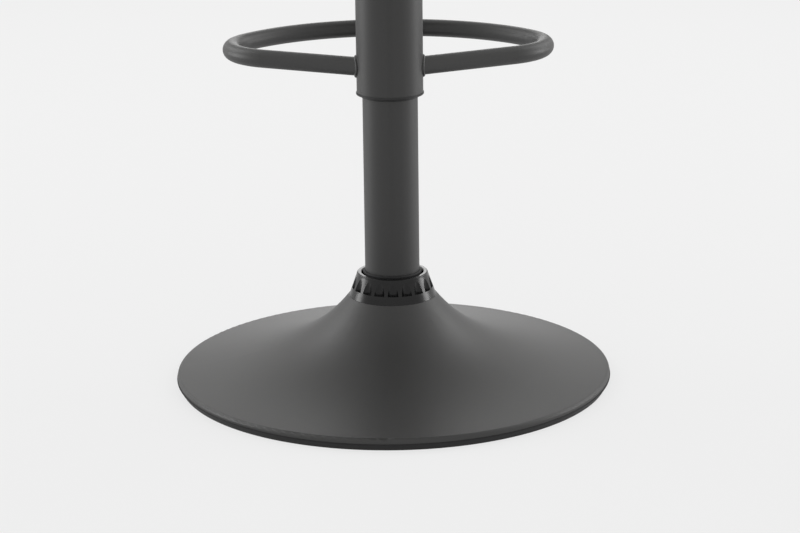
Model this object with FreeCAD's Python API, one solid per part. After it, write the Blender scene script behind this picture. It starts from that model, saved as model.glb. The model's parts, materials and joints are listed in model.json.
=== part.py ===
import FreeCAD, Part
import math
import os
from FreeCAD import Vector

os.makedirs("parts", exist_ok=True)

# Height-adjustable bar stool, in millimetres. Z is up, the origin is on the floor under the column,
# and the sitter and the foot ring face -Y. The seat is drawn three quarters of the way up its travel.

# Clearances
fit_gap = 0.05               # between two pieces of one body that fit into each other
running_gap = 0.06           # round a shaft that turns or slides in its bore
sliding_gap = 0.25           # between the plastic bush and the column
face_gap = 0.3               # between faces that pass or press on each other
race_gap = 0.03              # between the bearing's balls and its races

# Small edges that many pieces share
edge_break = 1.0             # chamfer or round on turned and moulded edges
overcut = 1.0                # cutters reach this far past what they cut
same_place = 0.000001        # points nearer to each other than this count as one

# Trumpet foot
base_radius = 201.0          # outermost edge of the foot
edge_ring_height = 6.1
edge_ring_draft = 3.2        # how much the edge ring draws in at the floor
edge_ring_width = 12.2
edge_ring_land = 4.6         # width of the land that carries the shell
edge_ring_shelf = 3.0        # height of the shelf that carries the ballast plate
edge_ring_shoulder = 0.9
ring_overhang = 0.7          # the ring stands proud of the shell
shell_wall = 1.8
rim_corner = 3.0
rim_lip = 1.9                # straight part of the lip under the rounded corner
edge_slope = 0.10            # rise of the shell per millimetre near the rim
flare_length = 46.5          # how quickly the flare steepens towards the neck
neck_radius = 40.6
neck_height = 79.5
neck_spigot_radius = 36.4    # neck inside the collar
neck_spigot_rise = 5.0
spigot_corner = 3.4
ballast_thickness = 4.0
ballast_hole_radius = 17.0
hub_radius = 28.0
hub_rise = 1.6               # the hub stands above the shell's neck

# Column, fixed in the hub by its taper
column_radius = 25.0
column_wall = 2.0
column_foot = 14.0           # height of its lower end
column_top = 430.0
taper_draw = 1.9             # radius that the column loses down its taper
end_cap_thickness = 6.0
guide_length = 90.0
guide_flange = 2.0

# Collar over the joint of foot and column
collar_foot_radius = 39.9
collar_top_radius = 32.2
collar_bore_radius = 28.25
collar_height = 21.9
collar_lip_corner = 1.6
collar_mouth_chamfer = 0.8
pocket_count = 18
pocket_radius = 5.2          # each pocket is scooped out by an upright cylinder of this radius
pocket_floor = 7.4           # height of the pockets' floor above the collar's foot
pocket_back_radius = 33.4
seal_radius = 26.9           # rubber ring that closes the collar's mouth round the column
seal_rise = 1.7

# Gas spring inside the column
cylinder_radius = 14.0
cylinder_bore_radius = 11.5
cylinder_length = 450.0
cylinder_taper_length = 55.0
cylinder_taper_draw = 1.2
cylinder_set_down = 1.0      # the cylinder's top stays this far under the seat plate's floor
gland_length = 18.0
valve_floor = 4.0
release_pin_radius = 4.0
release_pin_length = 25.0
release_pin_travel = 5.0
rod_radius = 5.0
rod_top = 300.0
spigot_radius = 4.0
piston_length = 12.0
clip_thickness = 1.2
clip_groove_depth = 0.8
clip_radius = 9.0
clip_mouth = 5.0
race_thickness = 2.0
race_radius = 14.0
ball_radius = 2.0
ball_circle_radius = 10.0
ball_count = 9
cage_thickness = 1.6
cage_margin = 1.6            # the cage reaches this far past its balls
bump_stop_radius = 12.0
bump_stop_length = 12.0

# Sleeve that rides over the column
sleeve_foot = 269.0
sleeve_length = 377.0
sleeve_radius = 30.0
sleeve_wall = 1.8
bush_flange_radius = 30.6
bush_flange = 1.8
bush_nose_radius = 26.6
bush_nose = 2.2
bush_length = 42.0
bush_corner = 0.5
sleeve_cap_thickness = 6.0

# Foot ring, a tube bent in one plane and welded to the sleeve's flanks
ring_height = 292.0
ring_tube_radius = 8.4
ring_tube_wall = 1.6
ring_reach = 202.3           # from the column's axis to the front of the tube's centre line
ring_front_radius = 166.9
ring_corner_radius = 58.1
ring_arm_angle = 26.9
ring_arm_offset = 11.0       # distance of each arm's centre line from the column's axis
weld_width = 1.8

# Seat plate, a pressed hat section with the taper socket
plate_sheet = 3.0
plate_box_half_width = 58.0
plate_half_width = 92.0
plate_half_depth = 80.0
plate_height = 27.0
plate_fold_radius = 2.4
socket_radius = 20.0
socket_length = 59.0
bolt_half_spacing_x = 75.0
bolt_half_spacing_y = 58.0
bolt_radius = 3.0
bolt_length = 17.0
bolt_head_radius = 6.0
bolt_head_height = 4.0
bolt_socket_radius = 2.4
bolt_socket_depth = 2.0
washer_radius = 8.0
washer_thickness = 1.2
t_nut_radius = 9.0
t_nut_barrel_radius = 4.2
t_nut_flange = 1.2
t_nut_length = 10.0

# Release lever
lever_radius = 4.0
lever_pivot = 45.0           # distance of the pivot from the column's axis
lever_knee = 66.0
lever_drop = 14.0
lever_drop_run = 28.0
lever_bend_radius = 12.0
lever_reach = 199.0
lever_tip = 7.0              # the tip passes the pin's centre by this much
lever_lift = 14.0            # height of the lever's axis over the plate's underside
boss_radius = 7.5
boss_length = 12.0
pivot_radius = 2.5
pivot_head_radius = 4.5
pivot_head = 2.0
bracket_sheet = 2.0
bracket_half_length = 7.5
bracket_top = 6.0            # the ears reach this far above the pivot
grip_radius = 7.5
grip_length = 76.0
grip_wall = 4.0              # closed end of the grip
grip_mouth_chamfer = 1.5
grip_tip_flat = 1.0
lever_window_width = 16.0

# Seat board and upholstery
seat_half_width = 196.0
seat_front = 200.0
seat_rear = 155.0
seat_side_radius = 900.0
seat_front_radius = 760.0
seat_corner_radius = 78.0
board_thickness = 12.0
board_inset = 9.0
dust_cover_thickness = 0.8
dust_cover_inset = 12.0
cover_thickness = 2.0
pad_foot_inset = 5.0
pad_crown_rise = 76.0        # from the board's underside to the top of the crown
pad_crown_margin = 12.0      # the crown is drawn this far past the pad's sides
pad_side_drop = 11.0
pad_end_drop = 9.0
seat_channel_count = 6
channel_depth = 4.5
# Sides of the seat pad: height above the board's underside, and inset from the widest outline
pad_side_stations = [(18.0, 1.0), (39.0, 0.0), (60.0, 3.0), (72.0, 12.0), (86.0, 32.0)]

# Backrest on its steel spine
spine_half_width = 38.0
spine_thickness = 6.0
spine_board_margin = 14.0    # from the spine's rear screws to the board's rear edge
spine_gap = 2.5              # between the seat pad and the spine
spine_bend = 9.0
spine_length = 225.0
spine_corner_radius = 14.0
back_lean = 7.0
back_rise = 95.0             # from the spine's bend to the lower edge of the back pad
back_height = 168.0
back_half_width = 184.0
back_corner_radius = 58.0
back_radius = 620.0
back_board_thickness = 9.0
back_board_inset = 7.0
back_pad_thickness = 34.0
back_panel_thickness = 3.0
back_panel_inset = 1.0
back_channel_count = 3
back_slab_margin = 10.0      # slabs are drawn this far past the backrest's edges
# Sections of the back pad: place along its width, share of its thickness, draw of its edges
back_pad_sections = [(1.06, 0.45, 5.0), (0.9, 0.9, 1.0), (0.5, 0.98, 0.0), (0.0, 1.0, 0.0)]
screw_radius = 2.5
screw_head_radius = 5.5
screw_head_height = 3.2
screw_head_flat = 3.5        # radius of the flat on top of the head
screw_cross_reach = 2.2
screw_cross_half_width = 0.5
screw_cross_depth = 1.6
screw_bite = 8.0
spine_screw_half_spacing = 22.0
spine_screw_pitch = 34.0
spine_screw_edge = 18.0

# Heights and places that follow from the sizes above
lip_radius = base_radius - ring_overhang
rim_top = edge_ring_height + rim_lip + rim_corner
flare_end = lip_radius - rim_corner
collar_top = neck_height + collar_height
hub_top = neck_height + neck_spigot_rise + hub_rise
hub_foot = edge_ring_shelf + ballast_thickness
taper_top = hub_top
race_foot = column_foot + end_cap_thickness
ball_height = race_foot + race_thickness + race_gap + ball_radius
shoulder_height = ball_height + ball_radius + race_gap + race_thickness
plate_foot = sleeve_foot + sleeve_length
cylinder_top = plate_foot - cylinder_set_down
cylinder_foot = cylinder_top - cylinder_length
taper_start = cylinder_top - cylinder_taper_length
cylinder_top_radius = cylinder_radius - cylinder_taper_draw
plate_floor = plate_foot + plate_sheet
pin_top = plate_foot + lever_lift - lever_radius - face_gap
lever_axis = plate_foot + lever_lift
flange_top = plate_foot + plate_height
board_foot = flange_top + dust_cover_thickness
board_top = board_foot + board_thickness
spine_front = seat_rear + spine_gap
spine_last_screw = seat_rear - board_inset - spine_board_margin
spine_start = spine_last_screw - spine_screw_pitch - spine_screw_edge


def polar(centre, radius, degrees):
    turn = math.radians(degrees)
    return (centre[0] + radius * math.cos(turn), centre[1] + radius * math.sin(turn))


# Step of an outline that rounds a corner: a middle point and an end point
def round_to(centre, radius, start_degrees, end_degrees):
    return (polar(centre, radius, (start_degrees + end_degrees) / 2), polar(centre, radius, end_degrees))


# Face between a start point and steps, each an end point, an arc's middle and end, or an edge and its end
def outline_face(start, steps, place):
    edges = []
    here = start
    for step in list(steps) + [start]:
        if isinstance(step[0], Part.Edge):
            edge, end = step
            edges.append(edge)
        elif isinstance(step[0], tuple):
            middle, end = step
            edges.append(Part.Arc(place(here), place(middle), place(end)).toShape())
        else:
            end = step
            if place(here).distanceToPoint(place(end)) > same_place:
                edges.append(Part.makeLine(place(here), place(end)))
        here = end
    return Part.Face(Part.Wire(edges))


def in_section(point):
    return Vector(point[0], 0, point[1])


def in_side_view(point):
    return Vector(0, point[0], point[1])


def lathe(start, *steps):
    face = outline_face(start, steps, in_section)
    return face.revolve(Vector(0, 0, 0), Vector(0, 0, 1), 360)


def tube(outer, inner, low, high):
    return lathe((inner, low), (outer, low), (outer, high), (inner, high))


def disc(radius, low, high):
    return Part.makeCylinder(radius, high - low, Vector(0, 0, low))


def rod_between(start, end, radius):
    along = end - start
    return Part.makeCylinder(radius, along.Length, start, along)


def box_between(low, high):
    return Part.makeBox(high[0] - low[0], high[1] - low[1], high[2] - low[2], Vector(*low))


def fused(shapes):
    return shapes[0].multiFuse(shapes[1:]).removeSplitter()


def save(name, *solids):
    shape = solids[0] if len(solids) == 1 else Part.makeCompound(list(solids))
    shape.exportStep("parts/" + name + ".step")


# Height of the flare at a radius: a gentle slope plus a rise that fades away from the neck
def flare_fade(radius):
    return math.exp(-(radius - neck_radius) / flare_length)


flare_span = flare_end - neck_radius
flare_rise = (neck_height - rim_top - edge_slope * flare_span) / (1 - flare_fade(flare_end))


# Point of the flare at a radius, moved inwards square to the surface
def flare_point(radius, depth):
    fade = flare_fade(radius)
    slope = edge_slope + flare_rise / flare_length * fade
    size = math.hypot(slope, 1)
    rise = flare_rise * (fade - flare_fade(flare_end))
    height = rim_top + edge_slope * (flare_end - radius) + rise
    return (radius - depth * slope / size, height - depth / size)


# Spline down the flare from one radius to another, with closer stations near the neck
def flare_curve(start, end, depth):
    span_count = 8
    crowding = 1.6
    shares = [(index / span_count) ** crowding for index in range(span_count + 1)]
    stations = [start + (end - start) * share for share in shares]
    curve = Part.BSplineCurve()
    curve.interpolate([in_section(flare_point(radius, depth)) for radius in stations])
    return curve.toShape()


def base_shell():
    spigot_top = neck_height + neck_spigot_rise
    bend = (neck_spigot_radius - spigot_corner, spigot_top - spigot_corner)
    inside = neck_spigot_radius - shell_wall
    bore = hub_radius + fit_gap
    outer_end = flare_point(flare_end, 0)
    rim_centre = (flare_end, outer_end[1] - rim_corner)
    inner_start = neck_radius + shell_wall / 2
    inner_end = flare_point(flare_end, shell_wall)
    lip_inside = lip_radius - shell_wall
    rim_turn = 90 - math.degrees(math.atan(edge_slope))
    return lathe(
        (neck_radius, neck_height),
        (flare_curve(neck_radius, flare_end, 0), outer_end),
        round_to(rim_centre, rim_corner, 90, 0),
        (lip_radius, edge_ring_height),
        (lip_inside, edge_ring_height),
        (lip_inside, rim_centre[1]),
        (polar(rim_centre, rim_corner - shell_wall, rim_turn / 2), inner_end),
        (flare_curve(inner_start, flare_end, shell_wall), flare_point(inner_start, shell_wall)),
        (inside, neck_height - shell_wall),
        (inside, bend[1]),
        round_to(bend, spigot_corner - shell_wall, 0, 90),
        (bore, spigot_top - shell_wall),
        (bore, spigot_top),
        (bend[0], spigot_top),
        round_to(bend, spigot_corner, 90, 0),
        (neck_spigot_radius, neck_height),
    )


def base_edge_ring():
    foot = base_radius - edge_ring_draft
    land_inside = lip_radius - edge_ring_land
    inner = base_radius - edge_ring_width
    return lathe(
        (inner, 0),
        (foot, 0),
        (base_radius, edge_ring_height - edge_ring_shoulder),
        (base_radius - edge_ring_shoulder / 3, edge_ring_height),
        (land_inside, edge_ring_height),
        (land_inside, edge_ring_shelf),
        (inner, edge_ring_shelf),
    )


def ballast_plate():
    edge = lip_radius - edge_ring_land - fit_gap
    return tube(edge, ballast_hole_radius, edge_ring_shelf, hub_foot)


# Radius of the column at a height: it draws in down its taper
def taper_radius(height):
    share = (taper_top - height) / (taper_top - column_foot)
    return column_radius - taper_draw * max(0.0, share)


def base_hub():
    foot_bore = taper_radius(column_foot) + fit_gap
    return lathe(
        (foot_bore, hub_foot),
        (hub_radius, hub_foot),
        (hub_radius, hub_top),
        (column_radius + fit_gap, hub_top),
        (foot_bore, column_foot),
    )


def column_tube():
    foot_radius = taper_radius(column_foot)
    return lathe(
        (foot_radius - column_wall, column_foot),
        (foot_radius, column_foot),
        (column_radius, taper_top),
        (column_radius, column_top),
        (column_radius - column_wall, column_top),
        (column_radius - column_wall, taper_top),
    )


def column_end_cap():
    wall = column_wall + fit_gap
    low = taper_radius(column_foot) - wall
    high = taper_radius(race_foot) - wall
    bore = spigot_radius + running_gap
    return lathe((bore, column_foot), (low, column_foot), (high, race_foot), (bore, race_foot))


def column_guide():
    bore = cylinder_radius + running_gap
    outer = column_radius - column_wall - fit_gap
    top = column_top + guide_flange
    return lathe(
        (bore, column_top - guide_length),
        (outer, column_top - guide_length),
        (outer, column_top),
        (column_radius, column_top),
        (column_radius, top - edge_break),
        (column_radius - edge_break, top),
        (bore, top),
    )


# Cone with a hollow foot that fits over the shell's neck, and scooped grip pockets all round
def collar():
    slope = (collar_foot_radius - collar_top_radius) / collar_height
    lip_foot = collar_top - collar_lip_corner
    lip_radius_there = collar_foot_radius - slope * (collar_height - collar_lip_corner)
    cavity = neck_spigot_radius + fit_gap
    cavity_top = neck_height + neck_spigot_rise + fit_gap
    lip = lip_radius_there - collar_lip_corner
    body = lathe(
        (cavity, neck_height),
        (collar_foot_radius, neck_height),
        (lip_radius_there, lip_foot),
        round_to((lip, lip_foot), collar_lip_corner, 0, 90),
        (collar_bore_radius + collar_mouth_chamfer, collar_top),
        (collar_bore_radius, collar_top - collar_mouth_chamfer),
        (collar_bore_radius, cavity_top),
        (cavity, cavity_top),
    )
    pockets = []
    for index in range(pocket_count):
        x, y = polar((0, 0), pocket_back_radius + pocket_radius, 90 + 360.0 * index / pocket_count)
        pocket = disc(pocket_radius, neck_height + pocket_floor, collar_top + overcut)
        pocket.translate(Vector(x, y, 0))
        pockets.append(pocket)
    return body.cut(Part.makeCompound(pockets))


def collar_seal():
    top = collar_top + seal_rise
    return lathe(
        (column_radius + fit_gap, hub_top),
        (seal_radius, hub_top),
        (seal_radius, top - edge_break),
        (seal_radius - edge_break, top),
        (column_radius + fit_gap, top),
    )


def piston_rod():
    foot = column_foot - face_gap - clip_thickness - spigot_radius
    groove_low = column_foot - face_gap - clip_thickness
    groove_high = column_foot - face_gap
    groove = spigot_radius - clip_groove_depth
    return lathe(
        (0, foot),
        (spigot_radius - edge_break, foot),
        (spigot_radius, foot + edge_break),
        (spigot_radius, groove_low),
        (groove, groove_low),
        (groove, groove_high),
        (spigot_radius, groove_high),
        (spigot_radius, shoulder_height),
        (rod_radius, shoulder_height),
        (rod_radius, rod_top),
        (0, rod_top),
    )


# Open retaining ring that snaps into the rod's groove
def rod_clip():
    low = column_foot - face_gap - clip_thickness
    body = tube(clip_radius, spigot_radius - clip_groove_depth + fit_gap, low, low + clip_thickness)
    mouth = box_between(
        (-clip_mouth / 2, 0, low - overcut),
        (clip_mouth / 2, clip_radius + overcut, low + clip_thickness + overcut),
    )
    return body.cut(mouth)


def lower_race():
    return tube(race_radius, spigot_radius + 2 * face_gap, race_foot, race_foot + race_thickness)


def upper_race():
    return tube(race_radius, spigot_radius + fit_gap, shoulder_height - race_thickness, shoulder_height)


def bump_stop():
    top = shoulder_height + bump_stop_length
    return tube(bump_stop_radius, rod_radius + fit_gap, shoulder_height, top)


def bearing_balls():
    balls = []
    for index in range(ball_count):
        x, y = polar((0, 0), ball_circle_radius, 360.0 * index / ball_count)
        balls.append(Part.makeSphere(ball_radius, Vector(x, y, ball_height)))
    return balls


def bearing_cage():
    half = cage_thickness / 2
    reach = ball_radius + cage_margin
    low = ball_height - half
    body = tube(ball_circle_radius + reach, ball_circle_radius - reach, low, ball_height + half)
    holes = []
    for index in range(ball_count):
        x, y = polar((0, 0), ball_circle_radius, 360.0 * index / ball_count)
        hole = Part.makeCylinder(ball_radius + fit_gap, cage_thickness * 2)
        hole.translate(Vector(x, y, ball_height - cage_thickness))
        holes.append(hole)
    return body.cut(Part.makeCompound(holes))


def piston():
    bore = rod_radius + fit_gap
    outer = cylinder_bore_radius - running_gap
    return tube(outer, bore, rod_top - piston_length, rod_top)


def gas_cylinder():
    return lathe(
        (cylinder_bore_radius, cylinder_foot),
        (cylinder_radius - edge_break, cylinder_foot),
        (cylinder_radius, cylinder_foot + edge_break),
        (cylinder_radius, taper_start),
        (cylinder_top_radius, cylinder_top),
        (cylinder_bore_radius, cylinder_top),
    )


def cylinder_gland():
    outer = cylinder_bore_radius - fit_gap
    return tube(outer, rod_radius + running_gap, cylinder_foot, cylinder_foot + gland_length)


def cylinder_valve():
    outer = cylinder_bore_radius - fit_gap
    bore = release_pin_radius + running_gap
    pin_foot = pin_top - release_pin_length
    well = pin_foot - release_pin_travel
    floor = well - valve_floor
    return lathe(
        (0, floor),
        (outer, floor),
        (outer, cylinder_top),
        (bore, cylinder_top),
        (bore, well),
        (0, well),
    )


def release_pin():
    foot = pin_top - release_pin_length
    return lathe(
        (0, foot),
        (release_pin_radius, foot),
        (release_pin_radius, pin_top - edge_break),
        round_to((release_pin_radius - edge_break, pin_top - edge_break), edge_break, 0, 90),
        (0, pin_top),
    )


def sleeve_tube():
    return tube(sleeve_radius, sleeve_radius - sleeve_wall, sleeve_foot, plate_foot)


def sleeve_cap():
    outer = sleeve_radius - sleeve_wall - fit_gap
    return tube(outer, socket_radius + fit_gap, plate_foot - sleeve_cap_thickness, plate_foot)


# Guide bush with a lip under the sleeve and a nose below the lip
def sleeve_bush():
    bore = column_radius + sliding_gap
    lip_foot = sleeve_foot - bush_flange
    body = sleeve_radius - sleeve_wall - fit_gap
    return lathe(
        (bore, lip_foot - bush_nose),
        (bush_nose_radius - bush_corner, lip_foot - bush_nose),
        (bush_nose_radius, lip_foot - bush_nose + bush_corner),
        (bush_nose_radius, lip_foot),
        (bush_flange_radius - bush_corner, lip_foot),
        (bush_flange_radius, lip_foot + bush_corner),
        (bush_flange_radius, sleeve_foot),
        (body, sleeve_foot),
        (body, sleeve_foot + bush_length),
        (bore, sleeve_foot + bush_length),
    )


def in_ring_plan(point):
    return Vector(point[0], -point[1], ring_height)


# Centre line of the foot ring: straight arm, corner, front arc, corner, straight arm
def foot_ring_path():
    angle = math.radians(ring_arm_angle)
    along = (math.cos(angle), math.sin(angle))
    inward = (-math.sin(angle), math.cos(angle))
    start = (-ring_arm_offset * inward[0], -ring_arm_offset * inward[1])
    front_centre = (0, ring_reach - ring_front_radius)
    base = [start[i] + ring_corner_radius * inward[i] - front_centre[i] for i in (0, 1)]
    reach = base[0] * along[0] + base[1] * along[1]
    rest = base[0] ** 2 + base[1] ** 2 - (ring_front_radius - ring_corner_radius) ** 2
    run = -reach + math.sqrt(reach ** 2 - rest)
    arm_end = (start[0] + run * along[0], start[1] + run * along[1])
    corner = (arm_end[0] + ring_corner_radius * inward[0], arm_end[1] + ring_corner_radius * inward[1])
    join_turn = math.atan2(corner[1] - front_centre[1], corner[0] - front_centre[0])
    join = polar(front_centre, ring_front_radius, math.degrees(join_turn))
    middle_turn = (math.radians(ring_arm_angle - 90) + join_turn) / 2
    corner_middle = polar(corner, ring_corner_radius, math.degrees(middle_turn))
    front = (0, ring_reach)
    right = [start, arm_end, corner_middle, join]
    left = [(-x, y) for x, y in right]
    places = [in_ring_plan(point) for point in right + [front] + left[::-1]]
    edges = [
        Part.makeLine(places[0], places[1]),
        Part.Arc(places[1], places[2], places[3]).toShape(),
        Part.Arc(places[3], places[4], places[5]).toShape(),
        Part.Arc(places[5], places[6], places[7]).toShape(),
        Part.makeLine(places[7], places[8]),
    ]
    return Part.Wire(edges), places


def swept(path, start, along, radius):
    circle = Part.Wire(Part.Circle(start, along, radius).toShape())
    return path.makePipeShell([circle], True, True)


def foot_ring():
    path, places = foot_ring_path()
    along = places[1] - places[0]
    outer = swept(path, places[0], along, ring_tube_radius)
    inner = swept(path, places[0], along, ring_tube_radius - ring_tube_wall)
    keep_out = disc(sleeve_radius, ring_height - sleeve_radius, ring_height + sleeve_radius)
    return outer.cut(inner).cut(keep_out)


# Weld bead round each arm where it meets the sleeve
def foot_ring_welds():
    path, places = foot_ring_path()
    band_low = ring_height - sleeve_radius
    band = tube(sleeve_radius + weld_width, sleeve_radius, band_low, ring_height + sleeve_radius)
    beads = []
    for start, end in ((places[0], places[1]), (places[8], places[7])):
        wide = rod_between(start, end, ring_tube_radius + weld_width)
        tube_itself = rod_between(start, end, ring_tube_radius)
        bead = band.common(wide).cut(tube_itself)
        near_arm = sorted(bead.Solids, key=lambda solid: -solid.Volume)
        beads.append(near_arm[0])
    return beads


def bolt_places():
    return [(x, y) for x in (-bolt_half_spacing_x, bolt_half_spacing_x)
            for y in (-bolt_half_spacing_y, bolt_half_spacing_y)]


# Upright pieces of one kind at each bolt
def at_bolts(make_piece):
    pieces = []
    for x, y in bolt_places():
        piece = make_piece()
        piece.translate(Vector(x, y, 0))
        pieces.append(piece)
    return pieces


# Pressed plate: a box between two flanges, open at its front and rear
def seat_plate():
    box = plate_box_half_width
    sheet = plate_sheet
    right = [
        (box, plate_foot),
        (box, flange_top - sheet),
        (plate_half_width, flange_top - sheet),
        (plate_half_width, flange_top),
        (box - sheet, flange_top),
        (box - sheet, plate_floor),
    ]
    left = [(-x, z) for x, z in right[::-1]]
    face = outline_face((-box, plate_foot), right + left[:-1], in_section)
    face.translate(Vector(0, -plate_half_depth, 0))
    plate = face.extrude(Vector(0, 2 * plate_half_depth, 0))
    folds = []
    for edge in plate.Edges:
        centre = edge.CenterOfMass
        outer_fold = abs(abs(centre.x) - box) < overcut
        if outer_fold and edge.Length > plate_half_depth:
            folds.append(edge)
    plate = plate.makeFillet(plate_fold_radius, folds)
    bore = disc(socket_radius + fit_gap, plate_foot - overcut, plate_floor + overcut)
    hole = bolt_radius + face_gap
    holes = at_bolts(lambda: disc(hole, flange_top - sheet - overcut, flange_top + overcut))
    half = lever_window_width / 2
    window = box_between(
        (-box - overcut, -half, lever_axis - half),
        (-box + sheet + overcut, half, lever_axis + half),
    )
    return plate.cut(Part.makeCompound([bore, window] + holes))


# Radius of the gas cylinder at a height: it draws in up its top taper
def cylinder_at(height):
    share = (height - taper_start) / cylinder_taper_length
    return cylinder_radius - cylinder_taper_draw * min(1.0, max(0.0, share))


def plate_socket():
    low = plate_floor - socket_length
    bend = max(low, taper_start)
    top_bore = cylinder_top_radius + fit_gap
    return lathe(
        (cylinder_at(low) + fit_gap, low),
        (socket_radius, low),
        (socket_radius, plate_floor),
        (top_bore, plate_floor),
        (top_bore, cylinder_top),
        (cylinder_at(bend) + fit_gap, bend),
    )


# Wire of straight runs joined by tangent arcs of one radius
def rounded_path(points, radius):
    edges = []
    here = points[0]
    for index in range(1, len(points) - 1):
        corner = points[index]
        back = (points[index - 1] - corner).normalize()
        ahead = (points[index + 1] - corner).normalize()
        turn = math.pi - back.getAngle(ahead)
        reach = radius * math.tan(turn / 2)
        bisector = (back + ahead).normalize()
        middle = corner + bisector * (radius / math.cos(turn / 2) - radius)
        edges.append(Part.makeLine(here, corner + back * reach))
        edges.append(Part.Arc(corner + back * reach, middle, corner + ahead * reach).toShape())
        here = corner + ahead * reach
    edges.append(Part.makeLine(here, points[-1]))
    return Part.Wire(edges)


def pivot_place():
    return Vector(-lever_pivot, 0, lever_axis)


# Cylinder along Y through the lever's pivot
def across_pivot(radius, low, high):
    centre = pivot_place()
    return rod_between(centre + Vector(0, low, 0), centre + Vector(0, high, 0), radius)


def lever_rod():
    low = lever_axis - lever_drop
    points = [
        Vector(lever_tip, 0, lever_axis),
        Vector(-lever_knee, 0, lever_axis),
        Vector(-lever_knee - lever_drop_run, 0, low),
        Vector(grip_wall - lever_reach, 0, low),
    ]
    rod = swept(rounded_path(points, lever_bend_radius), points[0], Vector(-1, 0, 0), lever_radius)
    boss = across_pivot(boss_radius, -boss_length / 2, boss_length / 2)
    bore = across_pivot(pivot_radius + running_gap, -boss_length, boss_length)
    return fused([rod, boss]).cut(bore)


def lever_grip():
    low = lever_axis - lever_drop
    bore = lever_radius + fit_gap
    end = grip_radius - grip_tip_flat
    grip = lathe(
        (bore, 0),
        (grip_radius - grip_mouth_chamfer, 0),
        (grip_radius, grip_mouth_chamfer),
        (grip_radius, grip_length - end),
        round_to((grip_tip_flat, grip_length - end), end, 0, 90),
        (0, grip_length),
        (0, grip_length - grip_wall + fit_gap),
        (bore, grip_length - grip_wall + fit_gap),
    )
    grip.rotate(Vector(0, 0, 0), Vector(0, 1, 0), -90)
    grip.translate(Vector(grip_length - lever_reach, 0, low))
    return grip


def lever_bracket():
    inside = boss_length / 2 + face_gap
    outside = inside + bracket_sheet
    low = plate_floor
    left = -lever_pivot - bracket_half_length
    right = -lever_pivot + bracket_half_length
    top = lever_axis + bracket_top
    body = box_between((left, -outside, low), (right, outside, top))
    channel = box_between(
        (left - overcut, -inside, low + bracket_sheet),
        (right + overcut, inside, top + overcut),
    )
    hole = across_pivot(pivot_radius + fit_gap, -outside - overcut, outside + overcut)
    return body.cut(channel).cut(hole)


def lever_pivot_pin():
    outside = boss_length / 2 + face_gap + bracket_sheet
    shank = across_pivot(pivot_radius, -outside - pivot_head, outside)
    head = across_pivot(pivot_head_radius, outside, outside + pivot_head)
    return fused([shank, head])


def seat_bolt():
    seat_of_head = flange_top - plate_sheet - washer_thickness
    head_foot = seat_of_head - bolt_head_height
    head = disc(bolt_head_radius, head_foot, seat_of_head)
    socket = disc(bolt_socket_radius, head_foot, head_foot + bolt_socket_depth)
    shank = disc(bolt_radius, seat_of_head, seat_of_head + bolt_length)
    return fused([head, shank]).cut(socket)


def bolt_washer():
    seat_of_plate = flange_top - plate_sheet
    return tube(washer_radius, bolt_radius + face_gap, seat_of_plate - washer_thickness, seat_of_plate)


def t_nut():
    bore = bolt_radius + fit_gap
    return lathe(
        (bore, board_top - t_nut_length),
        (t_nut_barrel_radius, board_top - t_nut_length),
        (t_nut_barrel_radius, board_top - t_nut_flange),
        (t_nut_radius, board_top - t_nut_flange),
        (t_nut_radius, board_top),
        (bore, board_top),
    )


# Meeting point of two circles, the one further out along a direction
def circles_meet(first, first_radius, second, second_radius, outwards):
    span = (second[0] - first[0], second[1] - first[1])
    distance = math.hypot(*span)
    along = (first_radius ** 2 - second_radius ** 2 + distance ** 2) / (2 * distance)
    aside = math.sqrt(first_radius ** 2 - along ** 2)
    unit = (span[0] / distance, span[1] / distance)
    foot = (first[0] + along * unit[0], first[1] + along * unit[1])
    meets = [(foot[0] - s * aside * unit[1], foot[1] + s * aside * unit[0]) for s in (-1, 1)]
    return max(meets, key=lambda point: point[0] * outwards[0] + point[1] * outwards[1])


def beyond(centre, through, radius):
    span = (through[0] - centre[0], through[1] - centre[1])
    size = math.hypot(*span)
    return (centre[0] + span[0] / size * radius, centre[1] + span[1] / size * radius)


# Outline of the seat in plan, drawn in by an inset: four bowed sides and four round corners
def seat_outline(inset, height):
    middle = (seat_rear - seat_front) / 2
    sides = [
        ((seat_half_width - seat_side_radius, middle), seat_side_radius, (1, 0)),
        ((0, seat_rear - seat_front_radius), seat_front_radius, (0, 1)),
        ((seat_side_radius - seat_half_width, middle), seat_side_radius, (-1, 0)),
        ((0, seat_front_radius - seat_front), seat_front_radius, (0, -1)),
    ]
    corners = []
    for index in range(4):
        near, near_radius, near_way = sides[index]
        far, far_radius, far_way = sides[(index + 1) % 4]
        outwards = (near_way[0] + far_way[0], near_way[1] + far_way[1])
        centre = circles_meet(
            near, near_radius - seat_corner_radius, far, far_radius - seat_corner_radius, outwards)
        start = beyond(near, centre, near_radius - inset)
        end = beyond(far, centre, far_radius - inset)
        chord_middle = ((start[0] + end[0]) / 2, (start[1] + end[1]) / 2)
        corners.append((start, beyond(centre, chord_middle, seat_corner_radius - inset), end))
    edges = []
    for index in range(4):
        centre, radius, way = sides[index]
        start = corners[index - 1][2]
        end = corners[index][0]
        side_middle = (centre[0] + way[0] * (radius - inset), centre[1] + way[1] * (radius - inset))
        for a, b, c in ((start, side_middle, end), corners[index]):
            edges.append(Part.Arc(Vector(*a, height), Vector(*b, height), Vector(*c, height)).toShape())
    return Part.Wire(edges)


def seat_prism(inset, low, high):
    return Part.Face(seat_outline(inset, low)).extrude(Vector(0, 0, high - low))


# Seat pad without its top: sides that bulge a little and draw in at the foot and at the upper seam
def seat_sides(skin, foot):
    stations = [(foot, pad_foot_inset)] + pad_side_stations
    return Part.makeLoft([seat_outline(inset + skin, board_foot + rise) for rise, inset in stations], True)


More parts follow.
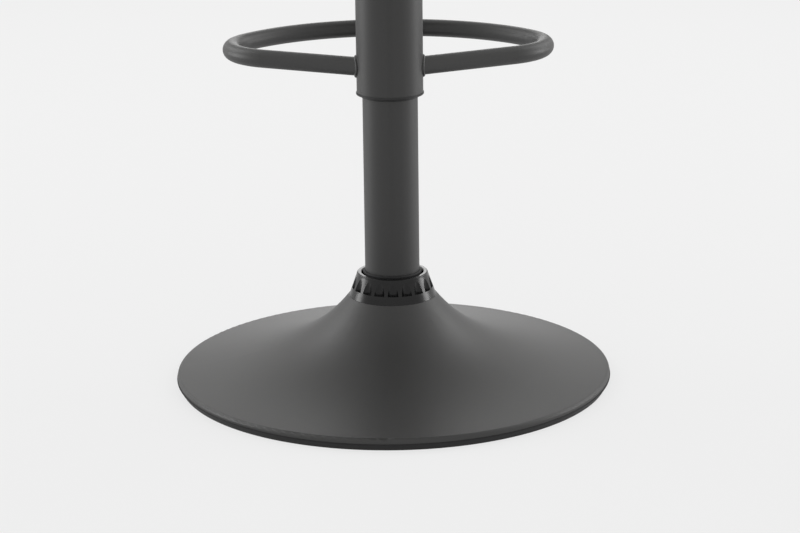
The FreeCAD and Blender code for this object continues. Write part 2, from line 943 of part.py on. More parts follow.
# Body whose top is the crowned, channelled top of the seat pad
def seat_crown(skin):
    middle = (seat_rear - seat_front) / 2
    half = (seat_rear + seat_front) / 2
    start = -seat_front - pad_crown_margin
    pitch = 2 * (half + pad_crown_margin) / seat_channel_count
    top = board_foot + pad_crown_rise - skin
    foot = board_foot - pad_crown_margin

    def crown_height(y):
        return top - pad_end_drop * ((y - middle) / half) ** 2

    def section(x, drop):
        def place(point):
            return Vector(x, point[0], point[1])

        steps = []
        for index in range(seat_channel_count):
            valley = start + pitch * (index + 1)
            ridge = valley - pitch / 2
            steps.append((
                (ridge, crown_height(ridge) - drop),
                (valley, crown_height(valley) - drop - channel_depth),
            ))
        steps.append((start + pitch * seat_channel_count, foot))
        steps.append((start, foot))
        return outline_face((start, crown_height(start) - drop - channel_depth), steps, place).OuterWire

    side = seat_half_width + pad_crown_margin
    return Part.makeLoft([section(-side, pad_side_drop), section(0, 0), section(side, pad_side_drop)], True)


def seat_pad(skin, foot):
    return seat_sides(skin, foot).common(seat_crown(skin))


def seat_cover():
    return seat_pad(0, 0).cut(seat_pad(cover_thickness, -overcut))


def seat_foam():
    pad = seat_pad(cover_thickness + fit_gap, 0)
    return pad.cut(seat_prism(board_inset - fit_gap, board_foot - overcut, board_top + fit_gap))


def seat_board():
    board = seat_prism(board_inset, board_foot, board_top)
    barrel = t_nut_barrel_radius + fit_gap
    flange = t_nut_radius + fit_gap
    barrels = at_bolts(lambda: disc(barrel, board_foot - overcut, board_top + overcut))
    flanges = at_bolts(lambda: disc(flange, board_top - t_nut_flange, board_top + overcut))
    return board.cut(Part.makeCompound(barrels + flanges + spine_seat_holes()))


def dust_cover():
    sheet = seat_prism(dust_cover_inset, flange_top, board_foot)
    hole = bolt_radius + face_gap
    holes = at_bolts(lambda: disc(hole, flange_top - overcut, board_foot + overcut))
    return sheet.cut(Part.makeCompound(holes + spine_seat_holes()))


def spine_bend_centre():
    lean = math.radians(back_lean)
    return (spine_front - spine_bend * math.cos(lean), flange_top + spine_bend)


# Moves a piece from the backrest's own frame, where Y is square to the spine and Z runs up it
def on_spine(shape):
    y, z = polar(spine_bend_centre(), spine_bend, -back_lean)
    shape.rotate(Vector(0, 0, 0), Vector(1, 0, 0), -back_lean)
    shape.translate(Vector(0, y, z))
    return shape


# Flat steel bar, bent up behind the seat, with rounded upper corners
def back_spine():
    centre = spine_bend_centre()
    outer = spine_bend + spine_thickness
    lean = math.radians(back_lean)
    up = (spine_length * math.sin(lean), spine_length * math.cos(lean))
    front_foot = polar(centre, spine_bend, -back_lean)
    rear_foot = polar(centre, outer, -back_lean)
    face = outline_face(
        (spine_start, flange_top - spine_thickness),
        [
            (centre[0], centre[1] - outer),
            round_to(centre, outer, -90, -back_lean),
            (rear_foot[0] + up[0], rear_foot[1] + up[1]),
            (front_foot[0] + up[0], front_foot[1] + up[1]),
            front_foot,
            round_to(centre, spine_bend, -back_lean, -90),
            (spine_start, flange_top),
        ],
        in_side_view,
    )
    face.translate(Vector(-spine_half_width, 0, 0))
    bar = face.extrude(Vector(2 * spine_half_width, 0, 0))
    ends = []
    for edge in bar.Edges:
        at_side = abs(abs(edge.CenterOfMass.x) - spine_half_width) < overcut
        high = edge.CenterOfMass.z > flange_top + up[1]
        low = edge.CenterOfMass.y < spine_start + overcut
        if at_side and (high or low) and edge.Length < spine_thickness + overcut:
            ends.append(edge)
    bar = bar.makeFillet(spine_corner_radius, ends)
    return bar.cut(Part.makeCompound(spine_seat_holes() + spine_back_holes()))


def spine_seat_places():
    first = spine_start + spine_screw_edge
    return [(x, y) for x in (-spine_screw_half_spacing, spine_screw_half_spacing)
            for y in (first, first + spine_screw_pitch)]


# Pan-head screw along Z, with its head below the origin
def screw(shank_length):
    shank = disc(screw_radius, 0, shank_length)
    shoulder = (screw_head_radius - screw_cross_half_width, -0.75 * screw_head_height)
    head = lathe(
        (0, -screw_head_height),
        (screw_head_flat, -screw_head_height),
        (shoulder, (screw_head_radius, 0)),
        (0, 0),
    )
    low = -screw_head_height - overcut
    high = screw_cross_depth - screw_head_height
    reach = screw_cross_reach
    half = screw_cross_half_width
    cross = fused([
        box_between((-reach, -half, low), (reach, half, high)),
        box_between((-half, -reach, low), (half, reach, high)),
    ])
    return fused([head, shank]).cut(cross)


def spine_seat_screws():
    length = spine_thickness + dust_cover_thickness + screw_bite
    screws = []
    for x, y in spine_seat_places():
        piece = screw(length)
        piece.translate(Vector(x, y, flange_top - spine_thickness))
        screws.append(piece)
    return screws


def spine_seat_holes():
    low = flange_top - spine_thickness - overcut
    high = board_foot + screw_bite + fit_gap
    holes = []
    for x, y in spine_seat_places():
        hole = disc(screw_radius + fit_gap, low, high)
        hole.translate(Vector(x, y, 0))
        holes.append(hole)
    return holes


def spine_back_places():
    top = spine_length - spine_screw_edge
    return [(x, z) for x in (-spine_screw_half_spacing, spine_screw_half_spacing)
            for z in (top - spine_screw_pitch, top)]


# Pieces along the backrest's own -Y at each of its screws
def at_back_screws(make_piece):
    pieces = []
    for x, z in spine_back_places():
        piece = make_piece()
        piece.rotate(Vector(0, 0, 0), Vector(1, 0, 0), 90)
        piece.translate(Vector(x, spine_thickness, z))
        pieces.append(on_spine(piece))
    return pieces


def back_screws():
    length = spine_thickness + back_panel_thickness + screw_bite
    return at_back_screws(lambda: screw(length))


def spine_back_holes():
    length = spine_thickness + back_panel_thickness + screw_bite + fit_gap
    return at_back_screws(lambda: disc(screw_radius + fit_gap, -overcut, length))


def back_axis():
    return -fit_gap - back_radius


# Curved slab of the backrest between two radii, in the backrest's own frame
def back_slab(inner, outer):
    low = back_rise - back_slab_margin
    high = back_rise + back_height + back_slab_margin
    face = outline_face((inner, low), [(outer, low), (outer, high), (inner, high)], in_section)
    half = math.degrees(math.asin((back_half_width + back_slab_margin) / inner))
    face.rotate(Vector(0, 0, 0), Vector(0, 0, 1), 90 - half)
    slab = face.revolve(Vector(0, 0, 0), Vector(0, 0, 1), 2 * half)
    slab.translate(Vector(0, back_axis(), 0))
    return slab


# Rounded rectangle of the backrest seen from the front, as a block along Y
def back_block(inset):
    side = back_half_width - inset
    low = back_rise + inset
    high = back_rise + back_height - inset
    radius = back_corner_radius - inset
    x = side - radius
    face = outline_face(
        (-x, low),
        [
            (x, low),
            round_to((x, low + radius), radius, -90, 0),
            (side, high - radius),
            round_to((x, high - radius), radius, 0, 90),
            (-x, high),
            round_to((-x, high - radius), radius, 90, 180),
            (-side, low + radius),
            round_to((-x, low + radius), radius, 180, 270),
        ],
        in_section,
    )
    face.translate(Vector(0, -back_half_width, 0))
    return face.extrude(Vector(0, 2 * back_half_width, 0))


def board_front_radius():
    return back_radius - back_panel_thickness - back_board_thickness - fit_gap


# Front pad of the backrest: channelled in height, full in the middle and drawn in at its ends
def back_pad(skin):
    rear = board_front_radius()
    reach = math.degrees(math.asin(back_half_width / rear))
    pitch = back_height / back_channel_count

    def section(share, thickness, draw):
        turn = math.radians(reach * share)
        front = rear - thickness + skin
        low = back_rise + draw + skin
        high = back_rise + back_height - draw - skin
        corner = 0.5 * (thickness - skin)

        def place(point):
            return Vector(point[0] * math.sin(turn), back_axis() + point[0] * math.cos(turn), point[1])

        steps = [(front + corner, low), round_to((front + corner, low + corner), corner, 270, 180)]
        here = low + corner
        for index in range(back_channel_count):
            there = back_rise + pitch * (index + 1)
            depth = channel_depth
            swell = channel_depth
            if index == back_channel_count - 1:
                there = high - corner
                depth = 0
            if index in (0, back_channel_count - 1):
                swell = channel_depth / 2
            steps.append(((front + depth / 2 - swell / 2, (here + there) / 2), (front + depth, there)))
            here = there
        steps.append(round_to((front + corner, high - corner), corner, 180, 90))
        steps.append((rear + overcut, high))
        return outline_face((rear + overcut, low), steps, place).OuterWire

    stations = [(place, part * back_pad_thickness, draw) for place, part, draw in back_pad_sections]
    stations += [(-place, thickness, draw) for place, thickness, draw in stations[-2::-1]]
    return Part.makeLoft([section(*station) for station in stations], True)


# Front pad within the backrest's outline, drawn in by a skin and cut off at the board
def back_body(skin):
    front = board_front_radius() - back_pad_thickness - back_slab_margin
    slab = back_slab(front, board_front_radius())
    return back_pad(skin).common(slab).common(back_block(skin))


def back_cover():
    inside = back_pad(cover_thickness).common(back_block(cover_thickness))
    return on_spine(back_body(0).cut(inside))


def back_foam():
    return on_spine(back_body(cover_thickness + fit_gap))


def back_board():
    outer = back_radius - back_panel_thickness - fit_gap
    inner = outer - back_board_thickness + fit_gap
    board = back_slab(inner, outer).common(back_block(back_board_inset))
    return on_spine(board).cut(Part.makeCompound(spine_back_holes()))


def back_panel():
    panel = back_slab(back_radius - back_panel_thickness, back_radius).common(back_block(back_panel_inset))
    return on_spine(panel).cut(Part.makeCompound(spine_back_holes()))


save("base_shell", base_shell())
save("base_edge_ring", base_edge_ring())
save("ballast_plate", ballast_plate())
save("base_hub", base_hub())
save("column_tube", column_tube())
save("column_end_cap", column_end_cap())
save("column_guide", column_guide())
save("collar", collar())
save("collar_seal", collar_seal())
save("lower_race", lower_race())

save("piston_rod", piston_rod())
save("rod_clip", rod_clip())
save("bearing_balls", *bearing_balls())
save("bearing_cage", bearing_cage())
save("upper_race", upper_race())
save("bump_stop", bump_stop())
save("piston", piston())

save("gas_cylinder", gas_cylinder())
save("cylinder_gland", cylinder_gland())
save("cylinder_valve", cylinder_valve())
save("release_pin", release_pin())
save("sleeve_tube", sleeve_tube())
save("sleeve_cap", sleeve_cap())
save("sleeve_bush", sleeve_bush())
save("foot_ring", foot_ring())
save("foot_ring_welds", *foot_ring_welds())

save("seat_plate", seat_plate())
save("plate_socket", plate_socket())
save("lever_bracket", lever_bracket())
save("lever_pivot_pin", lever_pivot_pin())
save("lever_rod", lever_rod())
save("lever_grip", lever_grip())
save("seat_bolts", *at_bolts(seat_bolt))
save("bolt_washers", *at_bolts(bolt_washer))
save("t_nuts", *at_bolts(t_nut))

save("seat_board", seat_board())
save("dust_cover", dust_cover())
save("seat_foam", seat_foam())
save("seat_cover", seat_cover())

save("back_spine", back_spine())
save("spine_seat_screws", *spine_seat_screws())
save("back_screws", *back_screws())
save("back_panel", back_panel())
save("back_board", back_board())
save("back_foam", back_foam())
save("back_cover", back_cover())
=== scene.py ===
import json
import math

import bmesh
import bpy
from mathutils import Matrix, Vector
from mathutils.bvhtree import BVHTree


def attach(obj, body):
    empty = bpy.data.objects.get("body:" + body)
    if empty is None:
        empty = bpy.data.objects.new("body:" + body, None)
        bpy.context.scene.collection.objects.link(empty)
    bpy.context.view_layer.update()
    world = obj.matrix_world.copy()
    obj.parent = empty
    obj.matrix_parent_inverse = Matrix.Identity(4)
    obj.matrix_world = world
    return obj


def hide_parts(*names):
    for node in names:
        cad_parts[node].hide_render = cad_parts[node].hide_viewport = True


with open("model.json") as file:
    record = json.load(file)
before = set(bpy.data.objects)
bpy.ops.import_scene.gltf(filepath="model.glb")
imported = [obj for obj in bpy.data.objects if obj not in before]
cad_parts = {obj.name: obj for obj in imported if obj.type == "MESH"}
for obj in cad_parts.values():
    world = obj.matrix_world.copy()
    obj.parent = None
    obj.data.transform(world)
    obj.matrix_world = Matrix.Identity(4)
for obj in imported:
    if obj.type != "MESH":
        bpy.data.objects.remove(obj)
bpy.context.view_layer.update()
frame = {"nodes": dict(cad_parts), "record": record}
cadNodes = frame["nodes"]
mm = 0.001
print("frame loaded:", len(cadNodes), "nodes")


# Adds a node to a tree: its settings first, then its sockets' values or links
def addNode(tree, kind, sockets, settings):
    made = tree.nodes.new(kind)
    for key, value in settings.items():
        setattr(made, key, value)
    for key, value in sockets.items():
        if isinstance(value, bpy.types.NodeSocket):
            tree.links.new(value, made.inputs[key])
        else:
            made.inputs[key].default_value = value
    return made.outputs


# A shader socket that Python's operators turn into Math nodes
class Wire:
    def __init__(self, paint, socket):
        self.paint = paint
        self.socket = socket

    def math(self, operation, *values):
        return self.paint.node("ShaderNodeMath", dict(enumerate(values)), operation=operation)

    def __add__(self, other):
        return self.math("ADD", self, other)

    def __rsub__(self, other):
        return self.math("SUBTRACT", other, self)

    def __mul__(self, other):
        return self.math("MULTIPLY", self, other)

    __radd__ = __add__
    __rmul__ = __mul__


# A material or a world, and this script's ways to add nodes to it
class Paint:
    def __init__(self, name, among=None):
        self.material = (bpy.data.materials if among is None else among).new(name)
        self.material.use_nodes = True
        self.tree = self.material.node_tree
        self.tree.nodes.clear()

    def node(self, kind, sockets=None, output=0, **settings):
        wired = {}
        for key, value in (sockets or {}).items():
            wired[key] = value.socket if isinstance(value, Wire) else value
        made = addNode(self.tree, kind, wired, settings)
        return Wire(self, made[output]) if len(made) else None

    def place(self, scale=(1, 1, 1)):
        where = self.node("ShaderNodeTexCoord", output="Object")
        return self.node("ShaderNodeMapping", {"Vector": where, "Scale": scale})

    def noise(self, scale, detail, rough, stretch=(1, 1, 1)):
        return self.node("ShaderNodeTexNoise", {
            "Vector": self.place(stretch), "Scale": scale, "Detail": detail, "Roughness": rough})

    def spread(self, value, low, high, toLow=0.0, toHigh=1.0):
        return self.node("ShaderNodeMapRange", {
            "Value": value, "From Min": low, "From Max": high, "To Min": toLow, "To Max": toHigh})

    def mix(self, factor, first, second):
        return self.node("ShaderNodeMix", {0: factor, 6: first, 7: second}, 2, data_type="RGBA")

    def bump(self, height, depth, under=None):
        sockets = {"Height": height, "Distance": depth}
        if under:
            sockets["Normal"] = under
        return self.node("ShaderNodeBump", sockets)

    def surface(self, tone, rough, bump, gloss=0.5, metal=0.0, sheen=0.0, sheenRough=0.5):
        shader = self.node("ShaderNodeBsdfPrincipled", {
            "Base Color": tone, "Roughness": rough, "Normal": bump, "Specular IOR Level": gloss,
            "Metallic": metal, "Sheen Weight": sheen, "Sheen Roughness": sheenRough})
        self.node("ShaderNodeOutputMaterial", {"Surface": shader})
        return self.material


def rgba(colour, share=1.0):
    return (*(part * share for part in colour), 1.0)


def linked(thing):
    bpy.context.scene.collection.objects.link(thing)
    return thing


# Camera, behind the stool and a little above the foot ring

cameraLook = {
    "frame": 800,        # pixels across
    "focal": 2218,     # in the same pixels
    "away": 1961.1,      # millimetres from the column's axis
    "high": 668.9,
    "pitch": 0.2799,     # radians, as the next three
    "yaw": 0.0036,
    "roll": -0.0122,
    "turn": 0.0099,      # how far the stool is turned on the floor
    "clip": (0.05, 60),
}


def makeCamera(look):
    pitch, yaw, roll, turn, away = [look[key] for key in ("pitch", "yaw", "roll", "turn", "away")]
    ahead = Vector((math.sin(yaw) * math.cos(pitch), math.cos(yaw) * math.cos(pitch), -math.sin(pitch)))
    level = Vector((math.cos(yaw), -math.sin(yaw), 0))
    upright = level.cross(ahead)
    right = math.cos(roll) * level + math.sin(roll) * upright
    up = math.cos(roll) * upright - math.sin(roll) * level
    swing = Matrix.Rotation(math.pi - turn, 3, "Z")
    right, up, ahead = swing @ right, swing @ up, swing @ ahead
    data = bpy.data.cameras.new("camera")
    data.sensor_width = 36.0
    data.sensor_fit = "HORIZONTAL"
    data.lens = look["focal"] / look["frame"] * data.sensor_width
    data.clip_start, data.clip_end = look["clip"]
    camera = linked(bpy.data.objects.new("camera", data))
    place = Matrix((right, up, -ahead)).transposed().to_4x4()
    side, back = away * math.sin(turn), away * math.cos(turn)
    place.translation = Vector((side * mm, back * mm, look["high"] * mm))
    camera.matrix_world = place
    bpy.context.scene.camera = camera


makeCamera(cameraLook)

# Studio: pale floor and wall, soft boxes at both sides and in front

studioLook = {
    "floorHalf": 14,
    "floorColour": (0.70, 0.70, 0.70),
    "floorGlow": 0.72,          # of white, added where the camera or a gloss sees the floor
    "floorShade": 0.22,         # share of the real light and shadow that the floor then shows
    "backdrop": (0.815, 0.812, 0.805),
    "worldStrength": 0.75,
    "aim": (0.0, 0.0, 0.35),    # of the soft boxes; "grid" is the angle of their light
    "highBox": {"size": 1.2, "power": 14, "grid": 180, "from": (2.0, -1.6, 1.8)},
    "lowBox": {"size": 0.9, "power": 3, "grid": 70, "from": (2.9, -0.7, 0.55)},
    "backBox": {"size": 1.2, "power": 3, "grid": 100, "from": (0.0, -3.0, 1.0)},
}


def softBox(name, look, place, aim):
    data = bpy.data.lights.new(name, "AREA")
    data.shape = "SQUARE"
    data.size = look["size"]
    data.energy = look["power"]
    data.spread = math.radians(look["grid"])
    lamp = linked(bpy.data.objects.new(name, data))
    lamp.location = place
    lamp.rotation_euler = (Vector(aim) - Vector(place)).to_track_quat("-Z", "Y").to_euler()
    lamp.visible_camera = False


# Value that is 1 where the camera looks, straight or by way of a gloss or a glass
def seenRays(paint):
    rays = ("Is Camera Ray", "Is Glossy Ray", "Is Transmission Ray")
    camera, gloss, glass = [paint.node("ShaderNodeLightPath", output=ray) for ray in rays]
    return camera.math("MAXIMUM", camera.math("MAXIMUM", camera, gloss), glass)


def makeStudio(look):
    half = look["floorHalf"]
    mesh = bpy.data.meshes.new("floor")
    corners = [(-half, -half, 0), (half, -half, 0), (half, half, 0), (-half, half, 0)]
    mesh.from_pydata(corners, [], [(0, 1, 2, 3)])
    linked(bpy.data.objects.new("floor", mesh))
    paint = Paint("paleFloor")
    matt = paint.node("ShaderNodeBsdfDiffuse", {"Color": rgba(look["floorColour"])})
    shade = paint.node("ShaderNodeBsdfDiffuse", {"Color": rgba(look["floorColour"], look["floorShade"])})
    glow = paint.node("ShaderNodeEmission", {"Color": (1, 1, 1, 1), "Strength": look["floorGlow"]})
    pale = paint.node("ShaderNodeAddShader", {0: shade, 1: glow})
    seen = paint.node("ShaderNodeMixShader", {0: seenRays(paint), 1: matt, 2: pale})
    paint.node("ShaderNodeOutputMaterial", {"Surface": seen})
    mesh.materials.append(paint.material)

    sky = Paint("studioSky", bpy.data.worlds)
    bpy.context.scene.world = sky.material
    dim = sky.node("ShaderNodeBackground", {"Color": (1, 1, 1, 1), "Strength": look["worldStrength"]})
    white = sky.node("ShaderNodeBackground", {"Color": rgba(look["backdrop"]), "Strength": 1})
    both = sky.node("ShaderNodeMixShader", {0: seenRays(sky), 1: dim, 2: white})
    sky.node("ShaderNodeOutputWorld", {"Surface": both})

    for name in ("highBox", "lowBox"):
        x, y, z = look[name]["from"]
        softBox(name + "Left", look[name], (x, y, z), look["aim"])
        softBox(name + "Right", look[name], (-x, y, z), look["aim"])
    softBox("backBox", look["backBox"], look["backBox"]["from"], look["aim"])
    bpy.context.scene.view_settings.view_transform = "Standard"


makeStudio(studioLook)
print("camera and studio ready")

# Finishes: "relief" is a bump's depth in metres, "gloss" the specular level

coatLook = {
    "colour": (0.0075, 0.0073, 0.0070), "roughness": 0.44, "gloss": 0.8,
    "grain": 1500, "cloud": 9, "relief": 0.00006,
}


# Fine-textured powder coat
def powderCoat(look):
    paint = Paint("powderCoat")
    grain = paint.noise(look["grain"], 3, 0.6)
    broad = paint.noise(look["cloud"], 4, 0.55)
    fleck = paint.spread(grain, 0.35, 0.68)
    tone = paint.mix(fleck, rgba(look["colour"], 0.82), rgba(look["colour"], 1.2))
    tone = paint.mix(paint.spread(broad, 0.3, 0.7, 0.0, 0.25), tone, rgba(look["colour"], 1.5))
    rough = look["roughness"] + 0.06 * broad + 0.05 * (1 - fleck)
    return paint.surface(tone, rough, paint.bump(grain, look["relief"]), look["gloss"])


plasticLooks = {
    "collarPlastic": {"colour": (0.006, 0.006, 0.0063), "roughness": 0.22, "gloss": 0.33, "grain": 2200},
    "bushPlastic": {"colour": (0.017, 0.017, 0.0172), "roughness": 0.5, "gloss": 0.5, "grain": 1800},
    "gripPlastic": {"colour": (0.010, 0.010, 0.0105), "roughness": 0.52, "gloss": 0.45, "grain": 1400},
}


# Moulded plastic with faint flow marks
def mouldedPlastic(name):
    look = plasticLooks[name]
    paint = Paint(name)
    grain = paint.noise(look["grain"], 2, 0.5)
    flow = paint.noise(1, 3, 0.6, (30, 30, 90))
    tone = paint.mix(paint.spread(flow, 0.35, 0.7), rgba(look["colour"], 0.8), rgba(look["colour"], 1.35))
    return paint.surface(tone, look["roughness"] + 0.1 * flow, paint.bump(grain, 0.00002), look["gloss"])


rubberLook = {
    "colour": (0.016, 0.016, 0.0165), "dust": (0.10, 0.097, 0.09), "dustTop": 0.003,
    "roughness": 0.6, "gloss": 0.3, "grain": 900, "cloud": 60,
}


# Dull rubber, a little dusty near the floor
def dullRubber(look):
    paint = Paint("dullRubber")
    cloud = paint.noise(look["cloud"], 4, 0.6)
    grain = paint.noise(look["grain"], 2, 0.5)
    height = paint.node("ShaderNodeSeparateXYZ", {0: paint.place()}, "Z")
    dust = paint.spread(height, 0.0, look["dustTop"], 1.0, 0.0) * paint.spread(cloud, 0.4, 0.7)
    tone = paint.mix(dust * 0.4, rgba(look["colour"]), rgba(look["dust"]))
    rough = look["roughness"] + 0.12 * cloud
    return paint.surface(tone, rough, paint.bump(grain, 0.00003), look["gloss"])


steelLooks = {
    "plainSteel": {"colour": (0.35, 0.345, 0.33), "roughness": 0.34, "metal": 1},
    "zincSteel": {"colour": (0.56, 0.56, 0.53), "roughness": 0.3, "metal": 1},
    "leverEnamel": {"colour": (0.022, 0.022, 0.022), "roughness": 0.3, "metal": 0},
    "stain": (0.34, 0.32, 0.28),
}


# Bare, plated or enamelled steel, drawn along Z
def drawnSteel(name):
    look = steelLooks[name]
    paint = Paint(name)
    streak = paint.noise(1, 3, 0.6, (900, 900, 22))
    cloud = paint.noise(45, 4, 0.6)
    drawn = paint.spread(streak, 0.3, 0.7)
    tone = paint.mix(drawn, rgba(look["colour"], 0.8), rgba(look["colour"], 1.15))
    tone = paint.mix(paint.spread(cloud, 0.45, 0.75, 0.0, 0.35), tone, rgba(steelLooks["stain"]))
    rough = look["roughness"] + 0.14 * cloud
    return paint.surface(tone, rough, paint.bump(streak, 0.00002), metal=look["metal"])


oxideLook = {"colour": (0.028, 0.028, 0.03), "worn": (0.30, 0.29, 0.28), "metal": 0.7, "roughness": 0.34}


# Black oxide on screws, worn to steel on a few high spots
def blackOxide(look):
    paint = Paint("blackOxide")
    cloud = paint.noise(420, 4, 0.65)
    worn = paint.spread(cloud, 0.62, 0.7)
    tone = paint.mix(worn * 0.5, rgba(look["colour"]), rgba(look["worn"]))
    rough = look["roughness"] + 0.2 * cloud
    return paint.surface(tone, rough, paint.bump(cloud, 0.00002), metal=look["metal"])


chromeLook = {"dark": (0.62, 0.62, 0.63), "bright": (0.72, 0.72, 0.73), "roughness": 0.06}


# Hard chrome with faint polishing marks
def hardChrome(look):
    paint = Paint("hardChrome")
    streak = paint.noise(1, 2, 0.5, (60, 60, 1800))
    tone = paint.mix(streak, rgba(look["dark"]), rgba(look["bright"]))
    return paint.surface(tone, look["roughness"] + 0.07 * streak, paint.bump(streak, 0.000004), metal=1.0)


plyLook = {
    "dark": (0.50, 0.34, 0.18), "pale": (0.66, 0.48, 0.28), "glue": (0.36, 0.22, 0.11),
    "fibre": (0.42, 0.28, 0.15), "figure": 26, "plies": 105, "roughness": 0.62, "relief": 0.00008,
}


# Birch plywood: figured faces and stripes of the plies on the edges
def birchPly(look):
    paint = Paint("birchPly")
    figure = paint.node("ShaderNodeTexWave", {
        "Vector": paint.place((1, 1, 0.3)), "Scale": look["figure"], "Distortion": 7,
        "Detail": 3, "Detail Scale": 1.4}, bands_direction="Y")
    fibre = paint.noise(1, 3, 0.6, (40, 900, 900))
    plies = paint.node("ShaderNodeTexWave", {
        "Vector": paint.place(), "Scale": look["plies"], "Distortion": 0.4}, bands_direction="Z")
    tone = paint.mix(figure, rgba(look["dark"]), rgba(look["pale"]))
    tone = paint.mix(paint.spread(plies, 0.55, 0.8, 0.0, 0.5), tone, rgba(look["glue"]))
    tone = paint.mix(paint.spread(fibre, 0.5, 0.75, 0.0, 0.4), tone, rgba(look["fibre"]))
    return paint.surface(tone, look["roughness"] + 0.12 * fibre, paint.bump(fibre, look["relief"]))


leatherLook = {
    "colour": (0.024, 0.0235, 0.023), "roughness": 0.45, "gloss": 0.4,
    "cell": 620, "relief": 0.00014, "folds": 0.0007,
}


# Imitation leather: pebbled, with painted shade and bumped wrinkles where the mesh's crease mask is high
def imitationLeather(look):
    paint = Paint("imitationLeather")
    cloud = paint.noise(95, 3, 0.6)
    where = paint.node("ShaderNodeVectorMath", {
        0: paint.noise(260, 2, 0.5), 1: (0.0012, 0.0012, 0.0012),
        2: paint.node("ShaderNodeTexCoord", output="Object")}, operation="MULTIPLY_ADD")
    cells = paint.node("ShaderNodeTexVoronoi", {
        "Vector": where, "Scale": look["cell"]}, feature="DISTANCE_TO_EDGE")
    pebble = paint.spread(cells, 0.0, 0.16)
    crease = paint.node("ShaderNodeAttribute", output="Fac", attribute_name="crease")
    wrinkle = paint.noise(1, 3, 0.5, (210, 55, 75))
    wrinkle = paint.spread(wrinkle, 0.35, 0.65) * crease
    tone = paint.mix(pebble, rgba(look["colour"], 0.55), rgba(look["colour"], 1.15))
    tone = paint.mix(paint.spread(cloud, 0.35, 0.7, 0.0, 0.35), tone, rgba(look["colour"], 1.55))
    # Painted shade: darker by seams, valleys and the foot of the sides, where shade falls
    tone = paint.mix(crease * 0.45, tone, rgba(look["colour"], 0.5))
    rough = look["roughness"] + 0.12 * (1 - pebble) + 0.06 * cloud
    skin = paint.bump(pebble, look["relief"], paint.bump(wrinkle, look["folds"]))
    return paint.surface(tone, rough, skin, look["gloss"], sheen=0.12, sheenRough=0.45)


# Two tones and a relief, for thread, cloth and foam
def softTone(paint, look, pattern, height, sheen=0.0):
    tone = paint.mix(pattern, rgba(look["dark"]), rgba(look["pale"]))
    return paint.surface(tone, look["roughness"], paint.bump(height, look["relief"]), sheen=sheen)


threadLook = {
    "dark": (0.018, 0.018, 0.018), "pale": (0.055, 0.054, 0.052),
    "twist": 520, "roughness": 0.58, "relief": 0.0001,
}


# Twisted sewing thread
def sewingThread(look):
    paint = Paint("sewingThread")
    twist = paint.node("ShaderNodeTexWave", {
        "Vector": paint.place(), "Scale": look["twist"], "Distortion": 1}, bands_direction="DIAGONAL")
    return softTone(paint, look, twist, twist, sheen=0.2)


bondedLook = {
    "dark": (0.010, 0.010, 0.010), "pale": (0.034, 0.034, 0.034),
    "dots": 430, "roughness": 0.88, "relief": 0.00025,
}


# Non-woven cloth: matted fibres and a grid of bonding dots
def bondedCloth(look):
    paint = Paint("bondedCloth")
    fibres = paint.noise(1, 5, 0.7, (500, 1400, 900))
    dots = paint.node("ShaderNodeTexVoronoi", {
        "Vector": paint.place(), "Scale": look["dots"], "Randomness": 0.15})
    press = paint.spread(dots, 0.18, 0.34)
    return softTone(paint, look, paint.spread(fibres, 0.3, 0.7), press * 0.7 + fibres * 0.3, sheen=0.15)


foamLook = {
    "dark": (0.45, 0.38, 0.20), "pale": (0.78, 0.72, 0.52),
    "pores": 900, "roughness": 0.9, "relief": 0.0003,
}


# Open-cell foam, hidden under the covers
def openFoam(look):
    paint = Paint("openFoam")
    pores = paint.node("ShaderNodeTexVoronoi", {"Vector": paint.place(), "Scale": look["pores"]})
    return softTone(paint, look, pores, pores)


coat = powderCoat(coatLook)
leather = imitationLeather(leatherLook)
thread = sewingThread(threadLook)
cloth = bondedCloth(bondedLook)
finishes = {
    "powder_coat": coat,
    "rim_rubber": dullRubber(rubberLook),
    "collar_plastic": mouldedPlastic("collarPlastic"),
    "bush_plastic": mouldedPlastic("bushPlastic"),
    "grip_plastic": mouldedPlastic("gripPlastic"),
    "plain_steel": drawnSteel("plainSteel"),
    "zinc_steel": drawnSteel("zincSteel"),
    "black_screws": blackOxide(oxideLook),
    "lever_paint": drawnSteel("leverEnamel"),
    "rod_chrome": hardChrome(chromeLook),
    "seat_leather": leather,
    "panel_leather": leather,
    "pad_foam": openFoam(foamLook),
    "plywood": birchPly(plyLook),
    "dust_cloth": cloth,
}
for subpart in frame["record"]["subparts"]:
    mesh = cadNodes[subpart["node"]].data
    mesh.materials.clear()
    mesh.materials.append(finishes[subpart["material_slot"]])
print("finishes on the frame's nodes:", len(finishes))


# Meshes, in millimetres until they are made

def smoothPiece(name, mesh):
    mesh.shade_smooth()
    return linked(bpy.data.objects.new(name, mesh))


def newPiece(name, points, faces, edges=()):
    mesh = bpy.data.meshes.new(name)
    mesh.from_pydata([Vector(point) * mm for point in points], edges, faces)
    return smoothPiece(name, mesh)


def shapedPiece(name, shape):
    mesh = bpy.data.meshes.new(name)
    shape.to_mesh(mesh)
    shape.free()
    return smoothPiece(name, mesh)


# Replaces a piece's mesh by what its modifiers make of it
def settle(piece):
    graph = bpy.context.evaluated_depsgraph_get()
    made = bpy.data.meshes.new_from_object(piece.evaluated_get(graph), depsgraph=graph)
    old = piece.data
    piece.modifiers.clear()
    piece.data = made
    bpy.data.meshes.remove(old)
    made.name = piece.name


def dropPiece(piece):
    mesh = piece.data
    bpy.data.objects.remove(piece)
    bpy.data.meshes.remove(mesh)


# Adds one piece's mesh to another's and removes it
def joinInto(first, second):
    shape = bmesh.new()
    shape.from_mesh(first.data)
    shape.from_mesh(second.data)
    shape.to_mesh(first.data)
    shape.free()
    dropPiece(second)


# Puts a piece on the seat's body and in the place of its CAD nodes
def settleOn(piece, slotName, *nodes):
    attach(piece, "upper")
    if nodes:
        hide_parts(*nodes)


# Geometry Nodes: a small builder, and the two trees of this script

